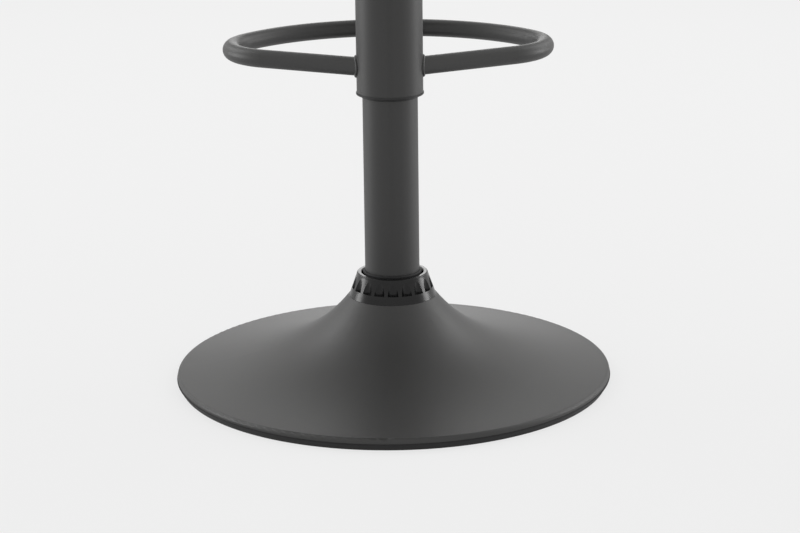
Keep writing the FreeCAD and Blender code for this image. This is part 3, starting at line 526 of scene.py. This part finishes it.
class Tree:
    def __init__(self, name, inputs):
        self.group = bpy.data.node_groups.new(name, "GeometryNodeTree")
        face = self.group.interface
        for label, kind in [("Geometry", "Geometry")] + inputs:
            face.new_socket(name=label, in_out="INPUT", socket_type="NodeSocket" + kind)
        face.new_socket(name="Geometry", in_out="OUTPUT", socket_type="NodeSocketGeometry")
        self.given = self.node("NodeGroupInput")

    def node(self, kind, sockets=None, **settings):
        return addNode(self.group, kind, sockets or {}, settings)

    # Ends the tree in Realize Instances and Set Material
    def finish(self, geometry):
        whole = self.node("GeometryNodeRealizeInstances", {"Geometry": geometry})
        painted = self.node("GeometryNodeSetMaterial", {
            "Geometry": whole["Geometry"], "Material": self.given["Material"]})
        self.node("NodeGroupOutput", {"Geometry": painted["Geometry"]})
        return self.group


# Round cord laid along a line
def cordTree():
    tree = Tree("cordAlongLine", [("Radius", "Float"), ("Material", "Material")])
    line = tree.node("GeometryNodeMeshToCurve", {"Mesh": tree.given["Geometry"]})
    ring = tree.node("GeometryNodeCurvePrimitiveCircle", {
        "Resolution": 10, "Radius": tree.given["Radius"]})
    cord = tree.node("GeometryNodeCurveToMesh", {
        "Curve": line["Curve"], "Profile Curve": ring["Curve"], "Fill Caps": True})
    smooth = tree.node("GeometryNodeSetShadeSmooth", {"Geometry": cord["Mesh"]})
    return tree.finish(smooth["Geometry"])


# One shape repeated along a line, its X along the line and its Z along the line's "up" vector
def rowTree():
    tree = Tree("rowAlongLine", [
        ("Pitch", "Float"), ("Shape", "Object"), ("Least Size", "Float"), ("Most Size", "Float"),
        ("Seed", "Int"), ("Material", "Material")])
    line = tree.node("GeometryNodeMeshToCurve", {"Mesh": tree.given["Geometry"]})
    spots = tree.node("GeometryNodeCurveToPoints", {
        "Curve": line["Curve"], "Length": tree.given["Pitch"]}, mode="LENGTH")
    up = tree.node("GeometryNodeInputNamedAttribute", {"Name": "up"}, data_type="FLOAT_VECTOR")
    along = tree.node("FunctionNodeAlignRotationToVector", {"Vector": spots["Tangent"]}, axis="X")
    stood = tree.node("FunctionNodeAlignRotationToVector", {
        "Rotation": along["Rotation"], "Vector": up["Attribute"]}, axis="Z", pivot_axis="X")
    size = tree.node("FunctionNodeRandomValue", {
        2: tree.given["Least Size"], 3: tree.given["Most Size"], "Seed": tree.given["Seed"]})
    shape = tree.node("GeometryNodeObjectInfo", {"Object": tree.given["Shape"]})
    copies = tree.node("GeometryNodeInstanceOnPoints", {
        "Points": spots["Points"], "Instance": shape["Geometry"],
        "Rotation": stood["Rotation"], "Scale": size[1]})
    return tree.finish(copies["Instances"])


cordAlongLine = cordTree()
rowAlongLine = rowTree()


def rowValues(look, seed, shape, material):
    return {"Pitch": look["pitch"] * mm, "Shape": shape, "Least Size": look["least"],
            "Most Size": look["most"], "Seed": seed, "Material": material}


# Runs a tree on lines, each a list of points with their "up" vectors
def alongLines(name, group, lines, closed, values):
    points, edges, ups = [], [], []
    for line in lines:
        first = len(points)
        for point, up in line:
            points.append(point)
            ups.append(up)
        edges += [(i, i + 1) for i in range(first, len(points) - 1)]
        if closed:
            edges.append((len(points) - 1, first))
    piece = newPiece(name, points, [], edges)
    up = piece.data.attributes.new("up", "FLOAT_VECTOR", "POINT")
    for index, value in enumerate(ups):
        up.data[index].vector = value
    modifier = piece.modifiers.new(name, "NODES")
    modifier.node_group = group
    for item in group.interface.items_tree:
        if item.item_type == "SOCKET" and item.name in values:
            modifier[item.identifier] = values[item.name]
    settle(piece)
    mesh = piece.data
    mesh.materials.clear()
    mesh.materials.append(values["Material"])
    mesh.polygons.foreach_set("material_index", [0] * len(mesh.polygons))
    return piece


# Ellipsoid, the shape of a stitch or of a weld's ripple
def grainShape(name, look):
    shape = bmesh.new()
    bmesh.ops.create_uvsphere(
        shape, u_segments=look["segments"], v_segments=look["rings"], radius=0.5 * mm)
    bmesh.ops.scale(shape, vec=look["size"], verts=shape.verts)
    return shapedPiece(name, shape)


# Bar with rounded edges, the shape of a staple
def barShape(name, size, edge):
    shape = bmesh.new()
    bmesh.ops.create_cube(shape, size=mm)
    bmesh.ops.scale(shape, vec=size, verts=shape.verts)
    bmesh.ops.bevel(shape, geom=shape.edges, offset=edge * mm, segments=2, affect="EDGES")
    return shapedPiece(name, shape)


# Quads between two loops with equally many points
def band(above, below):
    count = len(above)
    return [(above[k], above[(k + 1) % count], below[(k + 1) % count], below[k]) for k in range(count)]


def ease(value):
    value = min(1.0, max(0.0, value))
    return value * value * (3 - 2 * value)


# Outline of a pad: four bowed sides and four round corners. A place on it is named by the direction
# in which it faces, in degrees.
class Outline:
    def __init__(self, look):
        self.side = (look["halfWidth"] - look["sideRadius"], 0, look["sideRadius"])
        self.end = (0, look["halfLength"] - look["endRadius"], look["endRadius"])
        self.corner = self.cornerPlace(look["corner"])
        cx, cy, _ = self.corner
        self.sideEnds = math.degrees(math.atan2(cy, cx - self.side[0]))
        self.endStarts = math.degrees(math.atan2(cy - self.end[1], cx))
        self.diagonal = (self.sideEnds + self.endStarts) / 2

    # Centre of the corner's circle, which touches the side and the end from inside
    def cornerPlace(self, corner):
        near, far = self.side[2] - corner, self.end[2] - corner
        span = Vector((self.end[0] - self.side[0], self.end[1]))
        along = (near ** 2 - far ** 2 + span.length_squared) / (2 * span.length)
        aside = math.sqrt(near ** 2 - along ** 2)
        unit = span.normalized()
        foot = Vector((self.side[0], 0)) + along * unit
        meets = [foot + sign * aside * Vector((-unit.y, unit.x)) for sign in (-1, 1)]
        best = max(meets, key=lambda place: place.x + place.y)
        return (best.x, best.y, corner)

    def at(self, facing, inset):
        facing = facing % 360
        turn = facing % 180
        folded = 180 - turn if turn > 90 else turn
        if folded <= self.sideEnds:
            x, y, radius = self.side
        elif folded <= self.endStarts:
            x, y, radius = self.corner
        else:
            x, y, radius = self.end
        x += (radius - inset) * math.cos(math.radians(folded))
        y += (radius - inset) * math.sin(math.radians(folded))
        right = facing < 90 or facing > 270
        return (x if right else -x, y if facing < 180 else -y)

    # Direction of the place on the right side that is y from the middle
    def facingAt(self, y, inset):
        low, high = 0.0, 90.0
        for _ in range(40):
            middle = (low + high) / 2
            if self.at(middle, inset)[1] < abs(y):
                low = middle
            else:
                high = middle
        return low if y >= 0 else -low

    # Direction of the place that lies nearest to a point
    def nearest(self, x, y):
        wide, long = abs(x), abs(y)
        folded = math.degrees(math.atan2(long, wide - self.side[0]))
        if folded > self.sideEnds:
            folded = math.degrees(math.atan2(long - self.end[1], wide))
            if folded < self.endStarts:
                folded = math.degrees(math.atan2(long - self.corner[1], wide - self.corner[0]))
        if x < 0:
            folded = 180 - folded
        return folded if y >= 0 else -folded

    # Directions evenly spaced along the outline between two directions
    def evenly(self, start, end, count, inset):
        fine = 400
        turns = [start + (end - start) * i / fine for i in range(fine + 1)]
        places = [Vector(self.at(turn, inset)) for turn in turns]
        walked = [0.0]
        for i in range(fine):
            walked.append(walked[-1] + (places[i + 1] - places[i]).length)
        result, i = [], 0
        for step in range(count + 1):
            goal = walked[-1] * step / count
            while i < fine - 1 and walked[i + 1] < goal:
                i += 1
            share = (goal - walked[i]) / (walked[i + 1] - walked[i])
            result.append(turns[i] + share * (turns[i + 1] - turns[i]))
        return result


# Rows of a pad's top: the direction in which each meets the right side, and its share of the way from
# the outer valley to the end's seam. "marks" are the rows in a valley.
def padRows(look, outline):
    valleys, outer, inner = look["valleys"], look["outerRows"], look["innerRows"]
    facings = [outline.facingAt(valley - look["middle"], look["seamInset"]) for valley in valleys]
    rows, marks = [], []
    for i in range(outer):
        share = 1 - i / outer
        rows.append((facings[0] + (-outline.diagonal - facings[0]) * share, share))
    for near, far in zip(valleys, valleys[1:]):
        marks.append(len(rows))
        for i in range(inner):
            y = near + (far - near) * i / inner - look["middle"]
            rows.append((outline.facingAt(y, look["seamInset"]), 0.0))
    marks.append(len(rows))
    for i in range(outer + 1):
        share = i / outer
        rows.append((facings[-1] + (outline.diagonal - facings[-1]) * share, share))
    return rows, marks


# How far a channelled top lies under its crown
def valleyDrop(look, y):
    valleys = look["valleys"]
    between = valleys[0] <= y <= valleys[-1]
    if y < valleys[0]:
        share = (valleys[0] - y) / look["outerWidth"]
    elif y > valleys[-1]:
        share = (y - valleys[-1]) / look["outerWidth"]
    else:
        near = max(valley for valley in valleys if valley <= y)
        far = min([valley for valley in valleys if valley > y] or [near + 1])
        share = (y - near) / (far - near)
    share = min(share, 1.0)
    return look["valleyDepth"] * (2 * share - 1) ** 2 if share < 0.5 or between else 0.0


clothRun = {
    "frames": 20, "quality": 6, "mass": 0.35, "pressure": 4, "stretch": 12, "bending": 1.2,
    "spare": 0.018,      # share by which the cover is cut larger
    "heldRings": 3,      # of the sides, from below
}
# Reach of the crease mask, which paints shade into the leather's colour and adds wrinkles to its bump
creaseReach = {"seam": 12, "valley": 7, "side": 9, "foot": 8}     # millimetres over which they fade


# A pad's skin: a channelled top inside its seam, the sides below the seam and a hem turned under.
# "place" takes sideways, lengthways and height, in millimetres, to the stool's own frame.
def padSkin(name, look, outline, place, crown):
    columns, inset = look["columns"], look["seamInset"]
    valleys, middle = look["valleys"], look["middle"]
    rows, marks = padRows(look, outline)
    ends = {
        True: outline.evenly(180 - outline.diagonal, outline.diagonal, columns, inset),
        False: outline.evenly(180 + outline.diagonal, 360 - outline.diagonal, columns, inset)}

    points, pinned, creaseShadeAndWrinkles = [], [], []
    for index, (facing, share) in enumerate(rows):
        rear = index >= marks[-1]
        right = Vector(outline.at(facing, inset))
        left = Vector((-right.x, right.y))
        valley = (valleys[-1] if rear else valleys[0]) - middle
        reach = outline.at(outline.facingAt(valley, inset), inset)[0]
        corner = Vector(outline.at(outline.diagonal if rear else -outline.diagonal, inset))
        for column in range(columns + 1):
            u = column / columns
            spot = left.lerp(right, u)
            if share > 0:          # patch between the outer valley, the end's seam and the two corners
                straight = Vector((reach * (2 * u - 1), valley))
                bowed = Vector(outline.at(ends[rear][column], inset))
                corners = Vector(((2 * u - 1) * ((1 - share) * reach + share * corner.x),
                                  (1 - share) * valley + share * corner.y))
                spot = (1 - share) * straight + share * bowed + spot - corners
            near = ease((abs(2 * u - 1) - 1 + look["edgeShare"]) / look["edgeShare"])
            near = 1 - (1 - near) * (1 - ease((share - 0.45) / 0.55))
            drop = valleyDrop(look, spot.y + middle) * (1 - near) + look["seamDrop"] * near
            points.append((spot.x, spot.y + middle, crown(spot.x, spot.y) - drop))
            pinned.append((look["sewn"] and index in marks) or share == 1 or column in (0, columns))
            # Crease mask near the seam and the valleys: painted shade and wrinkles
            toSeam = min((right - spot).length, (left - spot).length)
            if share > 0:
                toSeam = min(toSeam, (bowed - spot).length)
            toValley = min(abs(spot.y + middle - v) for v in valleys)
            sewn = math.exp(-toValley / creaseReach["valley"]) if look["sewn"] else 0
            creaseShadeAndWrinkles.append(max(math.exp(-toSeam / creaseReach["seam"]), sewn))

    wide = columns + 1
    last = len(rows) - 1
    faces = []
    for j in range(last):
        for i in range(columns):
            a = j * wide + i
            faces.append((a, a + 1, a + wide + 1, a + wide))
    loop = [(i, ends[False][i]) for i in range(wide)]
    loop += [(j * wide + columns, rows[j][0]) for j in range(1, last)]
    loop += [(last * wide + i, ends[True][i]) for i in range(columns, -1, -1)]
    loop += [(j * wide, 180 - rows[j][0]) for j in range(last - 1, 0, -1)]

    above = [index for index, _ in loop]
    foot = look["foot"]
    held = len(look["sideRings"]) - clothRun["heldRings"]
    for ring, (share, ringInset) in enumerate(look["sideRings"]):
        below = []
        for index, facing in loop:
            x, y = outline.at(facing, ringInset)
            seam = points[index][2]
            height = foot + (seam - foot) * share if share >= 0 else foot + share
            below.append(len(points))
            points.append((x, y + middle, height))
            pinned.append(ring >= held)
            # Crease mask down the sides from the seam, and at the foot: painted shade and wrinkles
            creaseShadeAndWrinkles.append(math.exp(-(seam - height) / creaseReach["side"]) * 0.8
                           + 0.5 * math.exp(-abs(height - foot) / creaseReach["foot"]))
        for k in range(len(loop)):
            n = (k + 1) % len(loop)
            faces.append((above[k], below[k], below[n], above[n]))
        above = below
    piece = newPiece(name, [place(*point) for point in points], faces)
    crease = piece.data.attributes.new("crease", "FLOAT", "POINT")
    for index, value in enumerate(creaseShadeAndWrinkles):
        crease.data[index].value = min(1.0, value)
    group = piece.vertex_groups.new(name="pinned")
    group.add([index for index, fixed in enumerate(pinned) if fixed], 1.0, "REPLACE")
    return piece, [(facing, points[index][2]) for index, facing in loop]


# Blows a skin up as cloth under pressure, and caps the swelling
def inflate(piece, cap):
    before = [vertex.co.copy() for vertex in piece.data.vertices]
    modifier = piece.modifiers.new("fabric", "CLOTH")
    settings = modifier.settings
    settings.quality = clothRun["quality"]
    settings.mass = clothRun["mass"]
    settings.vertex_group_mass = "pinned"
    settings.tension_stiffness = settings.compression_stiffness = clothRun["stretch"]
    settings.shear_stiffness = clothRun["stretch"] / 2
    settings.bending_stiffness = clothRun["bending"]
    settings.shrink_min = settings.shrink_max = -clothRun["spare"]
    settings.use_pressure = True
    settings.uniform_pressure_force = clothRun["pressure"]
    settings.effector_weights.gravity = 0
    modifier.collision_settings.use_collision = False
    modifier.point_cache.frame_start = 1
    modifier.point_cache.frame_end = clothRun["frames"]
    scene = bpy.context.scene
    for step in range(1, clothRun["frames"] + 1):
        scene.frame_set(step)
    settle(piece)
    scene.frame_set(1)
    furthest = 0.0
    for vertex, start in zip(piece.data.vertices, before):
        move = vertex.co - start
        furthest = max(furthest, move.length)
        if move.length > cap * mm:
            vertex.co = start + move.normalized() * cap * mm
    print(piece.name, "swelled by at most", round(furthest / mm, 1), "mm")


# Vertices of a skin's open edge, one after another round it
def openEdge(shape):
    start = [e for e in shape.edges if e.is_boundary][0]
    loop = list(start.verts)
    while True:
        here = loop[-1]
        onward = [e for e in here.link_edges if e.is_boundary and e.other_vert(here) != loop[-2]][0]
        following = onward.other_vert(here)
        if following == loop[0]:
            return loop
        loop.append(following)


# Closes a skin from its open edge inwards: rings of (inset, height), then a flat
def closeUnder(piece, look, outline, place, unplace):
    shape = bmesh.new()
    shape.from_mesh(piece.data)
    above = openEdge(shape)
    middle = look["middle"]
    facings = []
    for vertex in above:
        x, y, _ = unplace(*(vertex.co / mm))
        facings.append(outline.nearest(x, y - middle))
    rings = [(inset, height, 1) for inset, height in look["innerRings"]]
    inset, height = look["flat"]
    rings += [(inset, height, share / 5) for share in (4, 3, 2, 1)]
    for inset, height, share in rings:
        below = []
        for facing in facings:
            x, y = outline.at(facing, inset)
            below.append(shape.verts.new(Vector(place(x * share, y * share + middle, height)) * mm))
        for quad in band(above, below):
            shape.faces.new(quad)
        above = below
    shape.faces.new(above)
    bmesh.ops.recalc_face_normals(shape, faces=shape.faces)
    shape.to_mesh(piece.data)
    shape.free()
    piece.data.shade_smooth()


# A whole pad and its seam: (direction, height) all round
def makePad(name, look, outline, place, unplace, crown):
    piece, seam = padSkin(name, look, outline, place, crown)
    if "swellCap" in look:
        inflate(piece, look["swellCap"])
    smooth = piece.modifiers.new("smooth", "SUBSURF")
    smooth.levels = smooth.render_levels = 1
    smooth.boundary_smooth = "PRESERVE_CORNERS"
    settle(piece)
    closeUnder(piece, look, outline, place, unplace)
    piece.data.materials.append(leather)
    return piece, seam


# Seams and stitches of the pads

stitchLook = {
    "size": (3.3, 1.0, 0.8), "segments": 6, "rings": 5,
    "pitch": 4.4, "least": 0.88, "most": 1.06,                  # "least" to "most" of the size, at random
    "fromSeam": 7, "trace": 1.5,                                # of the rows in the valleys
    "over": 25, "under": 30, "outside": -25, "inside": 20,      # reach of the rays that find the skin
}


# Points and normals where rays between pairs of places meet a piece
def traceOn(piece, place, rays):
    mesh = piece.data
    tree = BVHTree.FromPolygons([v.co for v in mesh.vertices], [p.vertices for p in mesh.polygons])
    line = []
    for start, end in rays:
        start, end = Vector(place(*start)) * mm, Vector(place(*end)) * mm
        hit, normal, _, _ = tree.ray_cast(start, end - start, (end - start).length)
        if hit:
            line.append((hit / mm, normal))
    return line


def rayDown(x, y, height):
    return ((x, y, height + stitchLook["over"]), (x, y, height - stitchLook["under"]))


# Lines for a pad's stitches: in its valleys, and on both sides of its piped seam
def padStitchLines(piece, look, outline, place, crown, seam):
    middle, inset = look["middle"], look["seamInset"]
    lines = []
    for valley in look["valleys"]:
        reach = outline.at(outline.facingAt(valley - middle, inset), inset)[0] - stitchLook["fromSeam"]
        steps = int(reach / stitchLook["trace"])
        across = [reach * i / steps for i in range(-steps, steps + 1)]
        rays = [rayDown(x, valley, crown(x, valley - middle)) for x in across]
        lines.append(traceOn(piece, place, rays))
    above, below = [], []
    for facing, height in seam:
        x, y = outline.at(facing, look["topStitchInset"])
        above.append(rayDown(x, y + middle, height))
        far = outline.at(facing, stitchLook["outside"])
        near = outline.at(facing, stitchLook["inside"])
        low = height - look["sideStitchDrop"]
        below.append(((far[0], far[1] + middle, low), (near[0], near[1] + middle, low)))
    return lines, [traceOn(piece, place, rays) for rays in (above, below)]


def stitchPiece(name, lines, rings, seed):
    shape = grainShape("stitchShape", stitchLook)
    values = rowValues(stitchLook, seed, shape, thread)
    piece = alongLines(name, rowAlongLine, lines, False, values)
    joinInto(piece, alongLines(name + "Rings", rowAlongLine, rings, True, values))
    dropPiece(shape)
    return piece


def seamLine(look, outline, place, seam, inset, rise):
    line = []
    for facing, height in seam:
        x, y = outline.at(facing, inset)
        line.append((place(x, y + look["middle"], height + rise), (0, 0, 1)))
    return line


def pipingPiece(name, look, lines):
    return alongLines(name, cordAlongLine, lines, True, {
        "Radius": look["piping"] * mm, "Material": leather})


# Seat cushion: six channels on a board, piped round its top

seatLook = {
    "halfWidth": 196, "halfLength": 177.5, "sideRadius": 900, "endRadius": 760, "corner": 78,
    "columns": 60, "outerRows": 7, "innerRows": 10,
    "middle": -22.5,
    "valleys": [-148.8, -85.7, -22.5, 40.7, 103.8], "sewn": True,
    "outerWidth": 51.2,
    "seamInset": 5.5, "seamDrop": 4.5, "valleyDepth": 9, "edgeShare": 0.12,
    "foot": 673.8,
    # share of the way from the foot up to the seam, or millimetres under the foot; and inset
    "sideRings": [
        (0.93, 2.8), (0.80, 1.0), (0.62, 0.3), (0.42, 0.2), (0.24, 1.0), (0.10, 2.6),
        (0.02, 4.4), (-0.62, 7.0), (-0.7, 11.7)],
    "innerRings": [(11.7, 673.7), (8.8, 673.72), (8.8, 686.1)], "flat": (8.8, 686.1),
    "crown": 749.6, "crownLength": 9, "crownWidth": 11, "crownHalf": 208,
    "swellCap": 6,
    "piping": 2.7, "pipingOut": 1.6, "pipingRise": 0.6,
    "topStitchInset": 12.5, "sideStitchDrop": 8.5, "seed": 3,
}
seatOutline = Outline(seatLook)


def seatPlace(x, y, height):
    return (x, y, height)


def seatCrown(x, y):
    alongDrop = seatLook["crownLength"] * (y / seatLook["halfLength"]) ** 2
    return seatLook["crown"] - alongDrop - seatLook["crownWidth"] * (x / seatLook["crownHalf"]) ** 2


seatCushion, seatSeam = makePad("seatCushion", seatLook, seatOutline, seatPlace, seatPlace, seatCrown)
lines, rings = padStitchLines(seatCushion, seatLook, seatOutline, seatPlace, seatCrown, seatSeam)
seatStitches = stitchPiece("seatStitches", lines, rings, seatLook["seed"])
pipingInset = seatLook["seamInset"] - seatLook["pipingOut"]
seatPiping = pipingPiece("seatPiping", seatLook, [
    seamLine(seatLook, seatOutline, seatPlace, seatSeam, pipingInset, seatLook["pipingRise"])])
settleOn(seatCushion, "seat_leather", "seat_foam", "seat_cover")
settleOn(seatPiping, "seat_leather")
settleOn(seatStitches, "seat_leather")
print("seat cushion made:", len(seatCushion.data.polygons), "faces")


# Back cushion and the panel behind it, in the backrest's own curve

backLook = {
    "halfWidth": 184, "halfLength": 84, "sideRadius": 20000, "endRadius": 20000, "corner": 58,
    "columns": 60, "outerRows": 9, "innerRows": 10,
    "middle": 179,
    "valleys": [151.0, 207.0], "sewn": True,
    "outerWidth": 56,
    "seamInset": 4.5, "seamDrop": 5, "valleyDepth": 8, "edgeShare": 0.12,
    "foot": -8,
    "sideRings": [
        (0.92, 1.8), (0.76, 0.4), (0.56, 0.0), (0.36, 0.2), (0.18, 0.8), (0.06, 1.8),
        (0.0, 2.6), (-0.8, 4.6), (-0.85, 6.8)],
    "innerRings": [(6.8, 0.1)], "flat": (6.8, 0.1),
    "crown": 33, "crownWidth": 3,
    "swellCap": 5,
    "piping": 2.5, "pipingOut": 1.4, "pipingRise": 0.4, "rearPiping": {"inset": 1.6, "height": -8.8},
    "topStitchInset": 11, "sideStitchDrop": 8, "seed": 5,
}
panelLook = {
    "columns": 44, "outerRows": 7, "innerRows": 6,
    "middle": 179,
    "valleys": [152.0, 206.0], "sewn": False,
    "outerWidth": 56,
    "seamInset": 3, "seamDrop": 0.9, "valleyDepth": 0, "edgeShare": 0.08,
    "foot": 0,
    "sideRings": [(0.75, 1.5), (0.4, 1.0), (0.0, 1.4)],
    "innerRings": [], "flat": (1.4, 0.0),
    "crown": 2.8, "puff": 1.7, "puffFrom": 34, "puffOver": 50, "puffHalf": 190,
    "stitchInset": 8, "stitchRay": (20, -5), "seed": 7,
}
backCurve = {
    "lean": 7, "foot": (157.5, 680.903),
    "axis": -620.05, "boardFront": 607.95, "panelFront": 617.05,
}
backOutline = Outline(backLook)
leanCos = math.cos(math.radians(backCurve["lean"]))
leanSin = math.sin(math.radians(backCurve["lean"]))


# The leaning spine's frame to the stool's and back
def onSpine(x, y, z):
    footY, footZ = backCurve["foot"]
    return (x, footY + y * leanCos + z * leanSin, footZ - y * leanSin + z * leanCos)


def offSpine(x, y, z):
    y, z = y - backCurve["foot"][0], z - backCurve["foot"][1]
    return (x, y * leanCos - z * leanSin, y * leanSin + z * leanCos)


# Ways on and off a curved face, to its front (-1) or to its rear (1)
def curvedPlaces(radius, way):
    def place(x, y, height):
        reach = radius + way * height
        return onSpine(-way * x, backCurve["axis"] + math.sqrt(reach ** 2 - x ** 2), y)

    def unplace(x, y, z):
        x, y, z = offSpine(x, y, z)
        return (-way * x, z, way * (math.hypot(x, y - backCurve["axis"]) - radius))

    return place, unplace


backPlace, backUnplace = curvedPlaces(backCurve["boardFront"], -1)
panelPlace, panelUnplace = curvedPlaces(backCurve["panelFront"], 1)


def backCrown(x, y):
    return backLook["crown"] - backLook["crownWidth"] * (x / backLook["halfWidth"]) ** 4


def panelCrown(x, y):
    puff = panelLook["puff"] * ease((abs(x) - panelLook["puffFrom"]) / panelLook["puffOver"])
    return panelLook["crown"] + puff * (1 - (x / panelLook["puffHalf"]) ** 4)


backCushion, backSeam = makePad("backCushion", backLook, backOutline, backPlace, backUnplace, backCrown)
lines, rings = padStitchLines(backCushion, backLook, backOutline, backPlace, backCrown, backSeam)
backStitches = stitchPiece("backStitches", lines, rings, backLook["seed"])
backPanelSkin, panelSeam = makePad(
    "backPanelSkin", panelLook, backOutline, panelPlace, panelUnplace, panelCrown)
rays = []
for facing, _ in panelSeam:
    x, y = backOutline.at(facing, panelLook["stitchInset"])
    rays.append([(x, y + panelLook["middle"], height) for height in panelLook["stitchRay"]])
panelStitches = stitchPiece(
    "panelStitches", [], [traceOn(backPanelSkin, panelPlace, rays)], panelLook["seed"])
pipingInset = backLook["seamInset"] - backLook["pipingOut"]
rear = backLook["rearPiping"]
rearSeam = [(facing, rear["height"]) for facing, _ in backSeam]
backPiping = pipingPiece("backPiping", backLook, [
    seamLine(backLook, backOutline, backPlace, backSeam, pipingInset, backLook["pipingRise"]),
    seamLine(backLook, backOutline, backPlace, rearSeam, rear["inset"], 0)])
settleOn(backCushion, "seat_leather", "back_foam", "back_cover")
settleOn(backPanelSkin, "panel_leather", "back_panel")
settleOn(backPiping, "seat_leather")
settleOn(backStitches, "seat_leather")
settleOn(panelStitches, "panel_leather")
print("backrest made:", len(backCushion.data.polygons), "and", len(backPanelSkin.data.polygons), "faces")


# Cloth stapled under the seat

clothLook = {
    "inset": 12, "low": 673, "high": 673.7, "columns": 48,
    "edgeRings": (0, 1.2, 4, 9, 16, 26), "innerRings": 12,
    "sag": 1.6, "sagFrom": 3, "sagOver": 22, "pucker": 0.3, "puckers": 42,
    "plateHalf": (96, 84), "spineHalf": 42, "fade": 18,        # steel that presses the cloth flat
}
stapleLook = {
    "size": (10.0, 1.2, 0.6), "edge": 0.2, "sink": 0.1, "inset": 16.5,
    "turns": (-255, 75), "steps": 400,          # round the seat, from one side of the spine to the other
    "spineGap": 45, "spineFrom": 100,
    "pitch": 31, "least": 0.97, "most": 1.03, "seed": 11,
}


# How far the cloth sags at a place: not where the plate or the spine presses it up
def clothSag(look, x, y, inset, facing):
    free = ease(max(abs(x) - look["plateHalf"][0], abs(y) - look["plateHalf"][1]) / look["fade"])
    if y > 0:
        free *= ease((abs(x) - look["spineHalf"]) / look["fade"])
    edge = ease((inset - look["inset"] - look["sagFrom"]) / look["sagOver"])
    wave = 0.5 - 0.5 * math.cos(math.radians(facing) * look["puckers"])
    return free * (look["sag"] * edge * (1 - 0.4 * edge) + look["pucker"] * wave * (1 - edge))


def makeDustCloth(look):
    facings = []
    for start in (0, 90, 180, 270):
        facings += seatOutline.evenly(start, start + 90, look["columns"], look["inset"])[:-1]
    rings = [(look["inset"] + step, 1) for step in look["edgeRings"]]
    rest = look["innerRings"]
    rings += [(rings[-1][0], share / rest) for share in range(rest - 1, 0, -1)]
    points, faces = [], []
    for face in (look["low"], look["high"]):
        for inset, share in rings:
            for facing in facings:
                x, y = seatOutline.at(facing, inset)
                x, y = x * share, y * share + seatLook["middle"]
                sag = clothSag(look, x, y, inset if share == 1 else math.inf, facing)
                points.append((x, y, face - sag))
    count, layers = len(facings), len(rings)
    loops = [range(count * layer, count * (layer + 1)) for layer in range(2 * layers)]
    for half in range(2):
        own = loops[layers * half:layers * (half + 1)]
        for outer, inner in zip(own, own[1:]):
            faces += [quad if half else quad[::-1] for quad in band(outer, inner)]
        cap = tuple(own[-1])
        faces.append(cap if half else cap[::-1])
    faces += band(loops[0], loops[layers])
    piece = newPiece("dustCloth", points, faces)
    piece.data.materials.append(cloth)
    return piece


# Line of the staples, open where the spine crosses the cloth
def stapleLine(look):
    line = []
    for facing in seatOutline.evenly(*look["turns"], look["steps"], look["inset"]):
        x, y = seatOutline.at(facing, look["inset"])
        if y < look["spineFrom"] or abs(x) > look["spineGap"]:
            line.append(((x, y + seatLook["middle"], clothLook["low"] - look["sink"]), (0, 0, -1)))
    return line


dustCloth = makeDustCloth(clothLook)
bar = barShape("stapleShape", stapleLook["size"], stapleLook["edge"])
values = rowValues(stapleLook, stapleLook["seed"], bar, finishes["zinc_steel"])
staples = alongLines("clothStaples", rowAlongLine, [stapleLine(stapleLook)], False, values)
dropPiece(bar)
settleOn(dustCloth, "dust_cloth", "dust_cover")
settleOn(staples, "zinc_steel")
print("dust cloth made")


# Weld ripples where the foot ring's arms meet the sleeve

weldLook = {
    "sleeve": 30, "tube": 8.4, "armOffset": 11, "armAngle": 26.9, "height": 292,
    "size": (2.2, 4.4, 2.6), "segments": 10, "rings": 7,       # of one ripple
    "fillet": 1.6, "proud": 0.4, "points": 120,
    "pitch": 1.3, "least": 0.9, "most": 1.1, "seed": 17,
}


# The line where a tube meets the sleeve, and the way out of their corner
def weldLine(look, sideways):
    turn = math.radians(look["armAngle"])
    along = Vector((math.cos(turn), -math.sin(turn), 0))
    across = Vector((math.sin(turn), math.cos(turn), 0))
    line = []
    for step in range(look["points"]):
        angle = 2 * math.pi * step / look["points"]
        out = look["armOffset"] + look["tube"] * math.cos(angle)
        run = math.sqrt(look["sleeve"] ** 2 - out ** 2)
        spot = out * across + run * along
        tubeWay = math.cos(angle) * across + Vector((0, 0, math.sin(angle)))
        outwards = (tubeWay + spot.normalized()).normalized()
        height = look["height"] + look["tube"] * math.sin(angle)
        spot = spot + outwards * look["proud"] + Vector((0, 0, height))
        spot.x *= sideways
        outwards.x *= sideways
        line.append((spot, outwards))
    return line


ripple = grainShape("rippleShape", weldLook)
weldLines = [weldLine(weldLook, side) for side in (1, -1)]
values = rowValues(weldLook, weldLook["seed"], ripple, coat)
weldBeads = alongLines("weldBeads", rowAlongLine, weldLines, True, values)
joinInto(weldBeads, alongLines("weldFillets", cordAlongLine, weldLines, True, {
    "Radius": weldLook["fillet"] * mm, "Material": coat}))
dropPiece(ripple)
settleOn(weldBeads, "powder_coat", "foot_ring_welds")
print("weld beads made")
